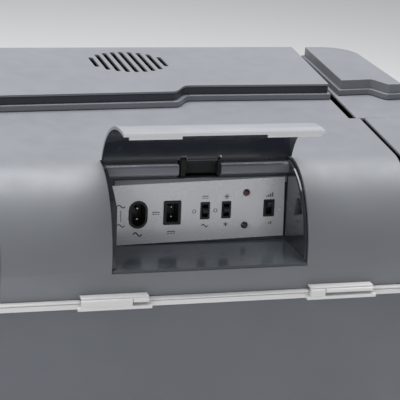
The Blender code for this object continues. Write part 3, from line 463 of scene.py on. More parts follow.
def piece(
    name, solid, finish, body, stands_for=(), place=SHIFT, round_off=(0.0005, 3), crease=32
):
    """One visible piece: smooth shaded, with rounded edges, riding on its body."""
    solid.transform(place)
    bmesh.ops.recalc_face_normals(solid, faces=solid.faces)
    mesh = bpy.data.meshes.new(name)
    solid.to_mesh(mesh)
    solid.free()
    mesh.shade_smooth()
    mesh.set_sharp_from_angle(angle=math.radians(crease))
    made = bpy.data.objects.new(name, mesh)
    bpy.context.scene.collection.objects.link(made)
    for key in [finish] if isinstance(finish, str) else finish:
        mesh.materials.append(M[key])
    if round_off:
        bevel = made.modifiers.new("round", "BEVEL")
        bevel.width, bevel.segments = round_off
        bevel.limit_method = "ANGLE"
        bevel.angle_limit = math.radians(crease)
        bevel.harden_normals = True
        bevel.miter_outer = "MITER_ARC"
    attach(made, body)
    if stands_for:
        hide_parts(*stands_for)
    return made


def refined(node, finish, body, round_off=(0.0004, 2), crease=32):
    """A finer piece made from the CAD node's own mesh, which it stands for."""
    name = f"{node}_finish"
    place = Matrix.Identity(4)
    return piece(name, cad_copy(node), finish, body, (node,), place, round_off, crease)


# Body


def build_outer_shell():
    base_x, base_y = HALF_WIDTH - BASE_TAPER, HALF_DEPTH - BASE_TAPER
    top = BODY_RIM_LOW - GAP
    wall = SHELL_WALL
    outside = [
        ring(base_x - 0.006, base_y - 0.006, CORNER - 0.016, FOOT_HEIGHT + GAP),
        ring(base_x - 0.0016, base_y - 0.0016, CORNER - 0.0116, FOOT_HEIGHT + 0.0022),
        ring(base_x, base_y, CORNER - 0.010, FOOT_HEIGHT + 0.006),
        ring(HALF_WIDTH, HALF_DEPTH, CORNER, top - 0.028),
        ring(HALF_WIDTH, HALF_DEPTH, CORNER, top),
    ]
    inside = [
        ring(HALF_WIDTH - wall, HALF_DEPTH - wall, CORNER - wall, top),
        ring(HALF_WIDTH - wall, HALF_DEPTH - wall, CORNER - wall, top - 0.028),
        ring(base_x - wall, base_y - wall, CORNER - 0.010 - wall, FOOT_HEIGHT + 0.007),
        ring(base_x - 0.008, base_y - 0.008, CORNER - 0.018, FOOT_HEIGHT + wall),
    ]
    solid = loft(outside + inside)
    piece("shell", solid, "shell", "body", ("outer_shell",), round_off=(0.0008, 3))


def build_inner_liner():
    wall_x, wall_y = TUB_HALF_WIDTH + LINER_WALL, TUB_HALF_DEPTH + LINER_WALL
    rim_x, rim_y = HALF_WIDTH + RIM_REACH, HALF_DEPTH + RIM_REACH
    seat_x, seat_y = TUB_HALF_WIDTH + SEAL_WIDTH, TUB_HALF_DEPTH + SEAL_WIDTH
    base_x, base_y = TUB_HALF_WIDTH - TUB_TAPER, TUB_HALF_DEPTH - TUB_TAPER
    rings = [
        ring(base_x + LINER_WALL, base_y + LINER_WALL, TUB_CORNER, TUB_FLOOR - LINER_WALL),
        ring(wall_x, wall_y, TUB_CORNER, BODY_RIM_LOW),
        ring(rim_x, rim_y, CORNER + RIM_REACH, BODY_RIM_LOW),
        ring(rim_x, rim_y, CORNER + RIM_REACH, BODY_RIM_TOP),
        ring(seat_x, seat_y, TUB_CORNER + SEAL_WIDTH, BODY_RIM_TOP),
        ring(seat_x, seat_y, TUB_CORNER + SEAL_WIDTH, BODY_RIM_TOP - SEAL_STEP),
        ring(TUB_HALF_WIDTH, TUB_HALF_DEPTH, TUB_CORNER, BODY_RIM_TOP - SEAL_STEP),
        ring(base_x + 0.0025, base_y + 0.0025, TUB_CORNER, TUB_FLOOR + 0.012),
        ring(base_x + 0.0006, base_y + 0.0006, TUB_CORNER, TUB_FLOOR + 0.004),
        ring(base_x - 0.003, base_y - 0.003, TUB_CORNER - 0.003, TUB_FLOOR + 0.001),
        ring(base_x - 0.008, base_y - 0.008, TUB_CORNER - 0.008, TUB_FLOOR),
    ]
    piece("tub", loft(rings), ["rim"], "body", ("inner_liner",), round_off=(0.0005, 2))


def build_feet():
    reach_x, reach_y = HALF_WIDTH - FOOT_INSET, HALF_DEPTH - FOOT_INSET
    for side, x in (("left", -reach_x), ("right", reach_x)):
        for end, y in (("rear", -reach_y), ("front", reach_y)):
            steps = (
                (0.0125, 0.0), (0.0146, 0.0004), (0.0156, 0.0016), (0.016, 0.0030),
                (0.016, FOOT_HEIGHT),
            )
            rings = [[(px, py, z) for px, py in circle((x, y), radius)] for radius, z in steps]
            name = f"foot_{end}_{side}"
            piece(f"{name}_pad", loft(rings), "foot", "body", (name,), round_off=None)


def arm_outline():
    """An arm seen from its side: round about its pivot, and round about the grip at its tip."""
    dropped = math.degrees(HANDLE_DROP)
    tip = arc((HANDLE_ARM, 0.0), HANDLE_BAR_RADIUS, dropped - 90, dropped + 90, 24)
    return tip + arc((0.0, 0.0), EAR_RADIUS, 90, 270, 24)


def build_handle():
    for name, side in (("left", -1), ("right", 1)):
        ends = sorted((side * HANDLE_ARM_INNER, side * (HANDLE_ARM_INNER + HANDLE_ARM_THICKNESS)))
        bore = extrude_x(circle((0, 0), PIVOT_RADIUS + GAP), ends[0] - 0.01, ends[1] + 0.01)
        arm = combined(extrude_x(arm_outline(), *ends), ("DIFFERENCE", bore))
        node = f"handle_arm_{name}"
        name = f"{node}_cover"
        piece(name, arm, "shell", "handle", (node,), HANDLE_FRAME, (0.0014, 4))
    half = HANDLE_ARM_INNER - GAP
    grip = extrude_x(circle((HANDLE_ARM, 0.0), HANDLE_BAR_RADIUS - GAP), -half, half)
    piece("grip_bar", grip, "shell", "handle", ("handle_grip",), HANDLE_FRAME, (0.0006, 3))


def build_handle_pivots():
    inner = HANDLE_ARM_INNER - GAP
    outer = HANDLE_ARM_INNER + HANDLE_ARM_THICKNESS + GAP
    for side, direction in (("left", -1), ("right", 1)):
        steps = (
            (HALF_WIDTH + GAP, BOSS_RADIUS), (inner, BOSS_RADIUS), (inner, PIVOT_RADIUS),
            (outer, PIVOT_RADIUS), (outer, 0.009), (outer + 0.0020, 0.009), (outer + 0.0020, 0.0045),
            (outer + 0.0012, 0.0038),
        )
        rings = [
            [(direction * x, y, z) for y, z in circle((0.0, HANDLE_Z), radius)] for x, radius in steps
        ]
        name = f"handle_pivot_{side}"
        piece(f"{name}_cap", loft(rings), "shell", "body", (name,), round_off=(0.0005, 3))


# Lid covers


def groove_rear(distance):
    return GROOVE_REAR - GROOVE_REAR_SLOPE * (GROOVE_JOG - distance)


def groove_front(distance):
    return GROOVE_FRONT + GROOVE_FRONT_SLOPE * (distance - GROOVE_JOG)


def profile(inset, start, end, steps):
    """Points (distance, height) of the rear profile, set in from its outer face."""
    points = []
    for step in range(steps + 1):
        turn = start + (end - start) * step / steps
        distance = inset + (PROFILE_DEPTH - inset) * (1 - math.cos(turn))
        points.append((distance, (PROFILE_HEIGHT - inset) * math.sin(turn)))
    return points


def thickened(made, wall, rounding):
    """Gives a sheet its wall inwards, before the bevel rounds its cut edges."""
    solidify = made.modifiers.new("wall", "SOLIDIFY")
    solidify.thickness = wall
    solidify.offset = -1
    solidify.use_even_offset = True
    bevel = made.modifiers.new("round", "BEVEL")
    bevel.width, bevel.segments = rounding
    bevel.limit_method = "ANGLE"
    bevel.angle_limit = math.radians(40)
    bevel.harden_normals = True
    return made


def build_lid_cover():
    low = LID_RIM_TOP + GAP
    cut_low = BAY_FLOOR - 0.0023
    curve = [(d, BAY_FLOOR + h) for d, h in profile(0.0, 0.0, math.pi / 2, 28)]
    front = [(2 * HALF_DEPTH - d, z) for d, z in reversed(curve)]
    middle = [
        (BAY_CUT_END, LID_TOP), (SLOT_CUT_END, LID_TOP), (0.105, LID_TOP), (GROOVE_JOG, LID_TOP),
        (GROOVE_JOG + 0.0002, LID_TOP), (rear_of(UNIT_Y - FAN_WINDOW), LID_TOP),
        (rear_of(UNIT_Y + FAN_WINDOW), LID_TOP),
    ]
    rows = [(0.0, low), (0.0, cut_low), *curve, *middle, *front, (2 * HALF_DEPTH, low)]
    sheet = bmesh.new()
    grid = []
    for distance, z in rows:
        edge = groove_rear(distance) if distance <= GROOVE_JOG else groove_front(distance)
        columns = (
            -edge, -BAY_HALF_WIDTH, -FAN_WINDOW, SLOT_X[0] - SLOT_MARGIN, SLOT_X[1] + SLOT_MARGIN,
            FAN_WINDOW, BAY_HALF_WIDTH, edge,
        )
        grid.append([sheet.verts.new((x, rear(distance), z)) for x in columns])
    for index, (near, far) in enumerate(zip(grid, grid[1:])):
        z = rows[index][1]
        distance, beyond = rows[index][0], rows[index + 1][0]
        in_bay = z >= cut_low - 1e-6 and beyond <= BAY_CUT_END + 1e-6 and distance < BAY_CUT_END
        in_slot = abs(distance - BAY_CUT_END) < 1e-6
        in_window = abs(distance - rear_of(UNIT_Y - FAN_WINDOW)) < 1e-6
        for column in range(7):
            if in_bay and 1 <= column <= 5 or in_slot and column == 3 or in_window and 2 <= column <= 4:
                continue
            sheet.faces.new((near[column], near[column + 1], far[column + 1], far[column]))
    loose = [v for v in sheet.verts if not v.link_faces]
    bmesh.ops.delete(sheet, geom=loose, context="VERTS")
    made = piece(
        "centre_cover", sheet, "lid", "lid", ("lid_cover",), round_off=None, crease=50
    )
    thickened(made, COVER_WALL, (0.0006, 3))


def lid_ring(turn):
    rise, drop = math.sin(turn), 1 - math.cos(turn)
    height = BAY_FLOOR + PROFILE_HEIGHT * rise
    return ring(HALF_WIDTH - SIDE_PROFILE * drop, HALF_DEPTH - PROFILE_DEPTH * drop,
                CORNER - SIDE_PROFILE * drop, height, 14)


def lid_sheet():
    """The lid's whole outer face, from its rim to its flat top."""
    sheet = bmesh.new()
    turns = [math.pi / 2 * step / 24 for step in range(25)]
    foot = [(x, y, LID_RIM_TOP + GAP) for x, y, _ in lid_ring(0.0)]
    rings = [foot] + [lid_ring(turn) for turn in turns]
    rows = [[sheet.verts.new(point) for point in points] for points in rings]
    for lower, upper in zip(rows, rows[1:]):
        for index, vertex in enumerate(lower):
            after = (index + 1) % len(lower)
            sheet.faces.new((vertex, lower[after], upper[after], upper[index]))
    sheet.faces.new(rows[-1])
    return sheet


def halved(sheet, point, outward):
    """Cuts the sheet by an upright plane and removes the side that outward points to."""
    geometry = sheet.verts[:] + sheet.edges[:] + sheet.faces[:]
    bmesh.ops.bisect_plane(
        sheet, geom=geometry, dist=1e-7, plane_co=point, plane_no=outward, clear_outer=True
    )


def build_end_covers():
    jog_y = rear(GROOVE_JOG + 0.0004)
    for name, side in (("left", -1), ("right", 1)):
        near = lid_sheet()
        halved(near, (0, jog_y, 0), (0, 1, 0))
        edge = side * (GROOVE_REAR + GROOVE_WIDTH_REAR)
        halved(near, (edge, rear(GROOVE_JOG), 0), (-side, GROOVE_REAR_SLOPE, 0))
        far = lid_sheet()
        halved(far, (0, jog_y, 0), (0, -1, 0))
        edge = side * (GROOVE_FRONT + GROOVE_WIDTH_FRONT)
        halved(far, (edge, rear(GROOVE_JOG), 0), (-side, GROOVE_FRONT_SLOPE, 0))
        gathered(near, far)
        bmesh.ops.remove_doubles(near, verts=near.verts, dist=1e-6)
        node = f"lid_end_cover_{name}"
        made = piece(
            f"end_cover_{name}", near, "lid", "lid", (node,), round_off=None, crease=50
        )
        thickened(made, COVER_WALL, (0.0012, 4))

        node = f"end_deck_{name}"
        lower = extrude_z(end_deck_plan(side, 0.0), LID_TOP + GAP, PLINTH_TOP)
        piece(f"end_step_{name}", lower, "plinth", "lid", (node,), round_off=(0.0009, 4))
        upper = extrude_z(end_deck_plan(side, LEDGE), PLINTH_TOP - 0.0005, DECK_TOP)
        piece(f"end_top_{name}", upper, "lid", "lid", (node,), round_off=(0.0009, 4))


def s_curve(start, end, steps=20):
    points = []
    for step in range(steps + 1):
        share = step / steps
        ease = share * share * (3 - 2 * share)
        points.append((start[0] + (end[0] - start[0]) * share, start[1] + (end[1] - start[1]) * ease))
    return points


def deck_plan(inset):
    left_near, left_far = DECK_LEFT_EDGE
    edge = 0.0008 + inset
    front = DECK_FRONT - inset
    jog_start = (DECK_JOG_X[0] - inset, left_far + inset)
    jog = s_curve(jog_start, (DECK_JOG_X[1] - inset, DECK_SET_BACK + inset))
    points = [
        (-groove_front(left_near) + edge, left_near + inset),
        *jog,
        (groove_front(DECK_SET_BACK) - edge, DECK_SET_BACK + inset),
        (groove_front(front) - edge, front),
        (-groove_front(front) + edge, front),
    ]
    return [(x, rear(y)) for x, y in points]


def end_deck_plan(side, inset):
    shifted = [x + inset for x in END_DECK_X]
    near = [y + inset for y in END_DECK_Y]
    front = DECK_FRONT - inset
    outer = END_DECK_X[3] - inset
    radius = END_DECK_CORNER - inset
    points = [
        (shifted[0], near[0]),
        *s_curve((shifted[1], near[1]), (shifted[2], near[2])),
        (outer, near[3]),
        *arc((outer - radius, front - radius), radius, 0, 90, 16),
        (groove_front(front) + GROOVE_WIDTH_FRONT + 0.001 + inset, front),
    ]
    return [(side * x, rear(y)) for x, y in points]


def build_deck():
    hole_low = (-FAN_WINDOW, UNIT_Y - FAN_WINDOW, LID_TOP - 0.01)
    hole_high = (FAN_WINDOW, UNIT_Y + FAN_WINDOW, DECK_TOP + 0.01)
    step = extrude_z(deck_plan(0.0), LID_TOP + GAP, PLINTH_TOP)
    plinth = combined(step, ("DIFFERENCE", block(hole_low, hole_high)))
    piece("plinth", plinth, "plinth", "lid", ("deck_plinth",), round_off=(0.0009, 4))

    cuts = [("DIFFERENCE", block(hole_low, hole_high))]
    duct_low, duct_high = PLINTH_TOP + 0.002, BAND_TOP + 0.01
    for side in (-1, 1):
        near, far = sorted(side * reach for reach in DUCT_REACH)
        for index in range(DUCT_COUNT):
            y = UNIT_Y + (index - (DUCT_COUNT - 1) / 2) * DUCT_SPACING
            duct = block((near, y - DUCT_HALF, duct_low), (far, y + DUCT_HALF, duct_high))
            cuts.append(("DIFFERENCE", duct))
    # The band takes the near-black band finish, which holds painted shade as well as its dark plastic.
    band = combined(extrude_z(deck_plan(LEDGE), PLINTH_TOP + GAP, BAND_TOP), *cuts)
    piece("outlet_band", band, "band", "lid", ("vent_band",), round_off=(0.0004, 3))

    slots = []
    for index in range(GRILLE_COUNT):
        x = (index - (GRILLE_COUNT - 1) / 2) * GRILLE_SPACING
        half = math.sqrt(ROTOR_RADIUS**2 - x**2)
        corner_low, corner_high = (x - GRILLE_HALF, UNIT_Y - half), (x + GRILLE_HALF, UNIT_Y + half)
        outline = rounded_box(corner_low, corner_high, GRILLE_HALF - 0.0001, 5)
        slots.append(("DIFFERENCE", extrude_z(outline, BAND_TOP - 0.01, DECK_TOP + 0.01)))
    top = combined(extrude_z(deck_plan(LEDGE - GAP), BAND_TOP + GAP, DECK_TOP), *slots)
    piece("top_cover", top, "lid", "lid", ("unit_cover",), round_off=(0.0005, 3))


# Lid liner and seal


def build_lid_inside():
    plug_x = TUB_HALF_WIDTH - PLUG_CLEARANCE
    plug_y = TUB_HALF_DEPTH - PLUG_CLEARANCE
    rim_x, rim_y = HALF_WIDTH + RIM_REACH, HALF_DEPTH + RIM_REACH
    rings = [
        ring(plug_x - 0.006, plug_y - 0.006, TUB_CORNER - 0.006, PLUG_LOW),
        ring(plug_x - 0.0018, plug_y - 0.0018, TUB_CORNER - 0.0045, PLUG_LOW + 0.0018),
        ring(plug_x, plug_y, TUB_CORNER - 0.003, PLUG_LOW + 0.006),
        ring(plug_x, plug_y, TUB_CORNER - 0.003, LID_RIM_LOW),
        ring(rim_x, rim_y, CORNER + RIM_REACH, LID_RIM_LOW),
        ring(rim_x, rim_y, CORNER + RIM_REACH, LID_RIM_TOP),
        ring(plug_x - LINER_WALL, plug_y - LINER_WALL, TUB_CORNER - 0.005, LID_RIM_TOP),
        ring(plug_x - 0.008, plug_y - 0.008, TUB_CORNER - 0.008, PLUG_LOW + LINER_WALL),
    ]
    window_x, window_y = UNIT_WINDOW
    window = block((-window_x, UNIT_Y - window_y, 0.30), (window_x, UNIT_Y + window_y, 0.35))
    liner = combined(loft(rings), ("DIFFERENCE", window))
    piece("lid_tray", liner, "rim", "lid", ("lid_liner",), round_off=(0.0003, 2))

    low, high = BODY_RIM_TOP - SEAL_STEP + GAP, LID_RIM_LOW - GAP
    inner = (TUB_HALF_WIDTH + 0.001, TUB_HALF_DEPTH + 0.001, TUB_CORNER)
    reach = SEAL_WIDTH - 0.001
    outer = (TUB_HALF_WIDTH + reach, TUB_HALF_DEPTH + reach, TUB_CORNER + reach)
    strip = combined(
        loft([ring(*outer, z) for z in (low, high)]),
        ("DIFFERENCE", loft([ring(*inner, z) for z in (low - 0.01, high + 0.01)])),
    )
    piece("seal", strip, "gasket", "lid", ("lid_gasket",), round_off=(0.0008, 3))


# Power bay


def build_bay_liner():
    outline = [(0.0004, -0.0020), (0.0004, 0.0), *profile(0.003, 0.0, math.radians(78), 26)]
    outline += [(PANEL_Y, BAY_TOP), (BAY_BACK_OUTER, BAY_TOP), (BAY_BACK_OUTER, -0.0020)]
    outer = BAY_HALF_WIDTH - GAP
    section = [(rear(y), BAY_FLOOR + z) for y, z in outline]
    top = PROFILE_HEIGHT + 0.002
    lean = math.tan(PANEL_TILT)
    rings = []
    for distance, low, high in (
        (-0.005, (-MOUTH_X, MOUTH_X), (-MOUTH_X, MOUTH_X)),
        (BAY_BACK, BACK_LOW_X, BACK_HIGH_X),
    ):
        far = BAY_BACK + top * lean if distance > 0 else distance
        rings.append([
            (low[0], rear(distance), BAY_FLOOR),
            (low[1], rear(distance), BAY_FLOOR),
            (high[1], rear(far), BAY_FLOOR + top),
            (high[0], rear(far), BAY_FLOOR + top),
        ])
    cavity = loft(rings)
    inner_edges = [
        edge for edge in cavity.edges
        if max(v.co.z for v in edge.verts) < BAY_FLOOR + top - 0.001
        or min(v.co.y for v in edge.verts) > rear(BAY_BACK) - 0.001
    ]
    inner_edges = [edge for edge in inner_edges if max(v.co.y for v in edge.verts) > rear(0.0)]
    bmesh.ops.bevel(
        cavity, geom=inner_edges, offset=0.0008, segments=4, profile=0.5, affect="EDGES",
        clamp_overlap=True,
    )
    bmesh.ops.recalc_face_normals(cavity, faces=cavity.faces)
    near, far = rear(CUT_REACH[0]), rear(CUT_REACH[1])
    left, right, low, high = PANEL_WINDOW
    window = block((left, near, BAY_FLOOR + low), (right, far, BAY_FLOOR + high))
    slot = block((SLOT_X[0], near, BAY_FLOOR + 0.0520), (SLOT_X[1], far, BAY_FLOOR + 0.08))
    steps = [("DIFFERENCE", tool) for tool in (cavity, window, slot)]
    liner = combined(extrude_x(section, -outer, outer), *steps)
    # Upward floor faces take the lighter floor colour, painted light on the same liner plastic.
    for face in liner.faces:
        on_floor = abs(face.calc_center_median().z - BAY_FLOOR) < 0.0002 and face.normal.z > 0.9
        face.material_index = int(on_floor)
    piece(
        "bay_shell", liner, ["bay", "bay_floor"], "lid", ("bay_liner",), round_off=(0.0006, 3),
        crease=28,
    )


def build_bay_trim():
    """The rail and band over the panel, a black strip behind the flap's root that paints the shade there,
    and the right rib.
    """
    left = (BACK_HIGH_X[0] - TRIM_OVERLAP, SLOT_X[0])
    right = (SLOT_X[1], BACK_HIGH_X[1] + TRIM_OVERLAP)
    rail = rounded_box((-0.0042, RAIL[0]), (0.0030, RAIL[1]), 0.0024, 8)
    band = rounded_box((0.0003, BAND_LINE[0]), (0.0022, BAND_LINE[1]), 0.0003, 4)
    strip_near, strip_far = rear(BAY_CUT_END - 0.0008), rear(BAY_CUT_END - 0.0002)
    for name, span in (("left", left), ("right", right)):
        bar_solid = extrude_x(rail, *span)
        piece(f"bay_rail_{name}", bar_solid, "rail", "lid", place=PANEL_FRAME, round_off=None)
        low = (span[0], strip_near, BAY_FLOOR + BAY_TOP)
        high = (span[1], strip_far, LID_TOP - 0.0004)
        # A black upright strip behind the flap's root: painted shade that hides the lid's lit cut edge
        # there.
        piece(f"root_shade_strip_{name}", block(low, high), "black", "lid", round_off=None)
    full = (BACK_LOW_X[0], BACK_HIGH_X[1] + TRIM_OVERLAP)
    piece("bay_band", extrude_x(band, *full), "rail", "lid", place=PANEL_FRAME, round_off=None)
    inner = profile(RIB_INSET + RIB_WIDTH, *RIB_TURNS, 24)
    line = profile(RIB_INSET, *RIB_TURNS, 24) + inner[::-1]
    section = [(rear(y), BAY_FLOOR + z) for y, z in line]
    rib = extrude_x(section, MOUTH_X - 0.0012, MOUTH_X + 0.0004)
    piece("bay_rib", rib, "bay", "lid", round_off=(0.0005, 4))


def build_flap():
    start, end = FLAP_ARC
    section = profile(SKIN_INSET, start, end, 36) + profile(FLAP_WALL, end, start, 36)
    section = [(y - FLAP_AXIS[0], z - FLAP_AXIS[1]) for y, z in section]
    shell = extrude_x(section, -FLAP_HALF_WIDTH, FLAP_HALF_WIDTH)
    low_y, low_z = section[0]
    lip_low, lip_high = low_z + 0.0002, low_z + 0.0028
    arm = ((-0.0085, -0.0018), (0.0, -0.0018), (0.0, 0.0012), (-0.0085, -0.0004))
    steps = []
    for left, right in ((LIP_ENDS[0], LIP_NOTCH[0]), (LIP_NOTCH[1], LIP_ENDS[1])):
        lip = block((left, low_y + 0.0012, lip_low), (right, low_y + LIP_DEPTH, lip_high))
        steps.append(("UNION", lip))
    steps.append(("UNION", extrude_x(arm, *TONGUE_X)))
    steps.append(("UNION", extrude_x(circle((0, 0), TONGUE_RADIUS - 0.0002, 28), *TONGUE_X)))
    ear_notches = (
        (TONGUE_X[0] - 0.0054, TONGUE_X[0] - 0.0004),
        (TONGUE_X[1] + 0.0004, TONGUE_X[1] + 0.0034),
    )
    for left, right in ear_notches:
        steps.append(("DIFFERENCE", block((left, -0.0042, -0.01), (right, 0.01, 0.01))))
    reach = (TONGUE_X[0] - 0.01, TONGUE_X[1] + 0.01)
    steps.append(("DIFFERENCE", extrude_x(circle((0, 0), FLAP_PIN_RADIUS + 0.0002, 20), *reach)))
    shell = combined(shell, *steps)
    # Faces turned down and inwards take the dark inside colour: partly its own darker plastic, partly
    # painted shade.
    for face in shell.faces:
        middle = face.calc_center_median()
        inward = face.normal.dot(Vector((0, 0.7, -0.7))) > 0.2
        within = (middle.y / (PROFILE_DEPTH - 0.001)) ** 2 + (middle.z / PROFILE_HEIGHT + 1) ** 2 < 1.0
        if inward and within and middle.z > lip_high + 0.001:
            face.material_index = 1
        elif math.hypot(middle.y, middle.z) < TONGUE_RADIUS and TONGUE_X[0] < middle.x < TONGUE_X[1]:
            face.material_index = 3
        elif middle.z < lip_low + 0.0004 and face.normal.z < -0.7:
            face.material_index = 2
    # The flap_edge finish paints a highlight on the lip's end faces; the flap_inside finish is partly
    # painted shade.
    finishes = ["flap", "flap_inside", "flap_edge", "rail"]
    piece("flap_cover", shell, finishes, "flap", ("flap",), FLAP_FRAME, (0.0004, 3), 30)


# Panel fittings, drawn in the panel's own frame: width, depth behind its face, height


def fitting(outline, low, high, hollow=None, depth=None):
    solid = extrude_y(outline, low, high)
    if hollow:
        return combined(solid, ("DIFFERENCE", extrude_y(hollow, low - 0.01, depth)))
    return solid


def stadium(centre, size, steps=14):
    return rounded_box(*centred(centre, size), size[0] / 2 - 0.0001, steps)


def build_inlets():
    ac_hollow = stadium(AC_CENTRE, (AC_SIZE[0] - 0.0040, AC_SIZE[1] - 0.0040))
    ac = fitting(stadium(AC_CENTRE, AC_SIZE), -0.0006, 0.0150, ac_hollow, 0.0125)
    piece("mains_socket", ac, "black", "lid", ("ac_inlet",), PANEL_FRAME, (0.0004, 3))
    outline = rounded_box(*centred(DC_CENTRE, DC_SIZE), 0.0008, 5)
    hollow = rounded_box(*centred(DC_CENTRE, (DC_SIZE[0] - 0.0044, DC_SIZE[1] - 0.0044)), 0.0006, 4)
    dc = fitting(outline, -0.0006, 0.0140, hollow, 0.0115)
    name = "low_volt_socket"
    piece(name, dc, "black", "lid", ("dc_inlet",), PANEL_FRAME, (0.0004, 3))
    for kind, (centre, spacing, radius, tip, root) in PINS.items():
        for name, offset in (("upper", spacing / 2), ("lower", -spacing / 2)):
            spot = (centre[0], centre[1] + offset)
            steps = (
                (0.35, tip), (0.7, tip + 0.00015), (0.92, tip + 0.0005), (1.0, tip + 0.0009), (1.0, root),
            )
            rings = [[(x, y, z) for x, z in circle(spot, radius * share, 24)] for share, y in steps]
            node = f"{kind}_pin_{name}"
            piece(f"{node}_tip", loft(rings), "pin", "lid", (node,), PANEL_FRAME, None, 60)


def ribbon(points, width):
    """A closed outline along a line of points, a given width wide."""
    left, right = [], []
    for index, point in enumerate(points):
        before, after = points[max(index - 1, 0)], points[min(index + 1, len(points) - 1)]
        along = Vector((after[0] - before[0], after[1] - before[1])).normalized()
        across = Vector((-along.y, along.x)) * width / 2
        left.append((point[0] + across.x, point[1] + across.y))
        right.append((point[0] - across.x, point[1] - across.y))
    return left + right[::-1]


def bar(centre, size):
    low, high = centred(centre, size)
    return [(low[0], low[1]), (high[0], low[1]), (high[0], high[1]), (low[0], high[1])]


def wave_mark(centre, width=0.0052, height=0.0011, line=0.0007):
    points = []
    for step in range(25):
        share = step / 24
        rise = height * math.sin(2 * math.pi * share)
        points.append((centre[0] + (share - 0.5) * width, centre[1] + rise))
    return [ribbon(points, line)]


def direct_mark(centre, width=0.0050):
    marks = [bar((centre[0], centre[1] + 0.0008), (width, 0.0006))]
    for step in (-1, 0, 1):
        marks.append(bar((centre[0] + step * width * 0.36, centre[1] - 0.0008), (width * 0.24, 0.0006)))
    return marks


def ring_mark(centre, radius=0.0013, line=0.0005):
    first = arc(centre, radius, 95, 265, 14)
    second = arc(centre, radius, 275, 445, 14)
    return [ribbon(first, line), ribbon(second, line)]


def star_mark(centre, radius=0.0019, line=0.0005):
    marks = []
    for turn in (0, 60, 120):
        angle = math.radians(turn + 30)
        step = Vector((math.cos(angle), math.sin(angle))) * radius
        start, end = Vector(centre) - step, Vector(centre) + step
        marks.append(ribbon([(start.x, start.y), (end.x, end.y)], line))
    return marks


def sun_mark(centre, radius=0.0009, line=0.0005):
    marks = [circle(centre, radius, 20)]
    for turn in range(0, 360, 45):
        angle = math.radians(turn)
        near, far = radius + 0.0004, radius + 0.0012
        marks.append(ribbon([
            (centre[0] + near * math.cos(angle), centre[1] + near * math.sin(angle)),
            (centre[0] + far * math.cos(angle), centre[1] + far * math.sin(angle)),
        ], line))
    return marks


def steps_mark(centre, count):
    marks = []
    for step in range(count):
        height = 0.0010 + 0.0008 * step
        x = centre[0] + (step - (count - 1) / 2) * 0.0017
        marks.append(bar((x, centre[1] - 0.0012 + height / 2), (0.0010, height)))
    return marks


def build_marks():
    outlines = [
        *direct_mark((0.0077, 0.0366)), *wave_mark((0.0079, 0.0138)), *ring_mark((-0.0009, 0.0254)),
        *sun_mark((0.0252, 0.0367)), *star_mark((0.0250, 0.0143)), *ring_mark((0.0162, 0.0258)),
        *steps_mark((0.0602, 0.0366), 4), *steps_mark((0.0614, 0.0147), 2),
        *wave_mark((-0.0594, 0.0312), 0.0064), bar((-0.0594, 0.0236), (0.0005, 0.0088)),
        *wave_mark((-0.0594, 0.0160), 0.0064), *direct_mark((-0.0317, 0.0250), 0.0058),
        *wave_mark((-0.0459, 0.0086), 0.0070, 0.0014, 0.0010), *direct_mark((-0.0190, 0.0093), 0.0064),
    ]
    marks = gathered(bmesh.new(), *[extrude_y(outline, *MARK_DEPTHS) for outline in outlines])
    piece("panel_marks", marks, "mark", "lid", place=PANEL_FRAME, round_off=None)


# Thermoelectric unit


def fan_blade(blade, middle, half):
    """One blade, as rings from the hub out: it is pitched, and sweeps back towards its tip."""
    root, tip = HUB_RADIUS * 0.95, ROTOR_RADIUS - 0.0006
    rise = half * 0.86
    rings = []
    for step in range(7):
        share = step / 6
        radius = root + (tip - root) * share
        lead = math.radians(360 / BLADES * blade + 10 * share)
        sweep = math.radians(24 + 8 * share)
        rings.append([
            (radius * math.cos(a), UNIT_Y + radius * math.sin(a), middle + z)
            for a, z in (
                (lead, -rise), (lead + sweep * 0.5, -rise * 0.1), (lead + sweep, rise - 0.001),
                (lead + sweep, rise), (lead + sweep * 0.5, rise * 0.1 + 0.0008), (lead, -rise + 0.0012),
            )
        ])
    return loft(rings)


def build_rotors():
    """Fans with a domed hub and pitched, curved blades."""
    for name, (low, high) in ROTORS.items():
        middle, half = (low + high) / 2, (high - low) / 2
        rotor = loft([
            [(x, y, z) for x, y in circle(FAN_CENTRE, radius, 40)]
            for radius, z in (
                (HUB_RADIUS, middle - half), (HUB_RADIUS, middle + half * 0.7),
                (HUB_RADIUS * 0.93, middle + half * 0.93), (HUB_RADIUS * 0.8, middle + half),
            )
        ])
        rotor = gathered(rotor, *[fan_blade(blade, middle, half) for blade in range(BLADES)])
        node = f"{name}_fan_rotor"
        label = f"{name}_fan_blades"
        piece(label, rotor, "black", f"{name}_fan", (node,), round_off=None)


REFINED = {
    "hinge_base_left": ("rim", "body", "rim"),
    "hinge_base_right": ("rim", "body", "rim"),
    "hinge_pin_left": ("pin", "body", "pin"),
    "hinge_pin_right": ("pin", "body", "pin"),
    "lid_hinge_left": ("rim", "lid", "rim"),
    "lid_hinge_right": ("rim", "lid", "rim"),
    "panel_plate": ("panel", "lid", "panel"),
    "flap_bracket": ("bracket", "lid", "black_plastic"),
    # The flap bracket takes the near-black matte finish that paints its ears in shade.
    "flap_pin": ("pin", "lid", "pin"),
    "power_switch": ("black", "lid", "black_plastic"),
    "mode_switch": ("black", "lid", "black_plastic"),
    "level_switch": ("black", "lid", "black_plastic"),
    "power_slider": ("knob", "power_knob", "knob"),
    "mode_slider": ("knob", "mode_knob", "knob"),
    "level_slider": ("knob", "level_knob", "knob"),
    "red_indicator": ("red_lens", "lid", "red_lens"),
    "dark_indicator": ("dark_lens", "lid", "dark_lens"),
    "control_board": ("board", "lid", "board"),
    "power_supply": ("supply", "lid", "supply"),
    "cold_spacer": ("aluminium", "lid", "aluminium"),
    "thermoelectric_module": ("module", "lid", "module"),
    "hot_heatsink": ("aluminium", "lid", "aluminium"),
    "cold_heatsink": ("aluminium", "lid", "aluminium"),
    "hot_fan_frame": ("black", "lid", "black_plastic"),
    "cold_grille": ("rim", "lid", "liner"),
}
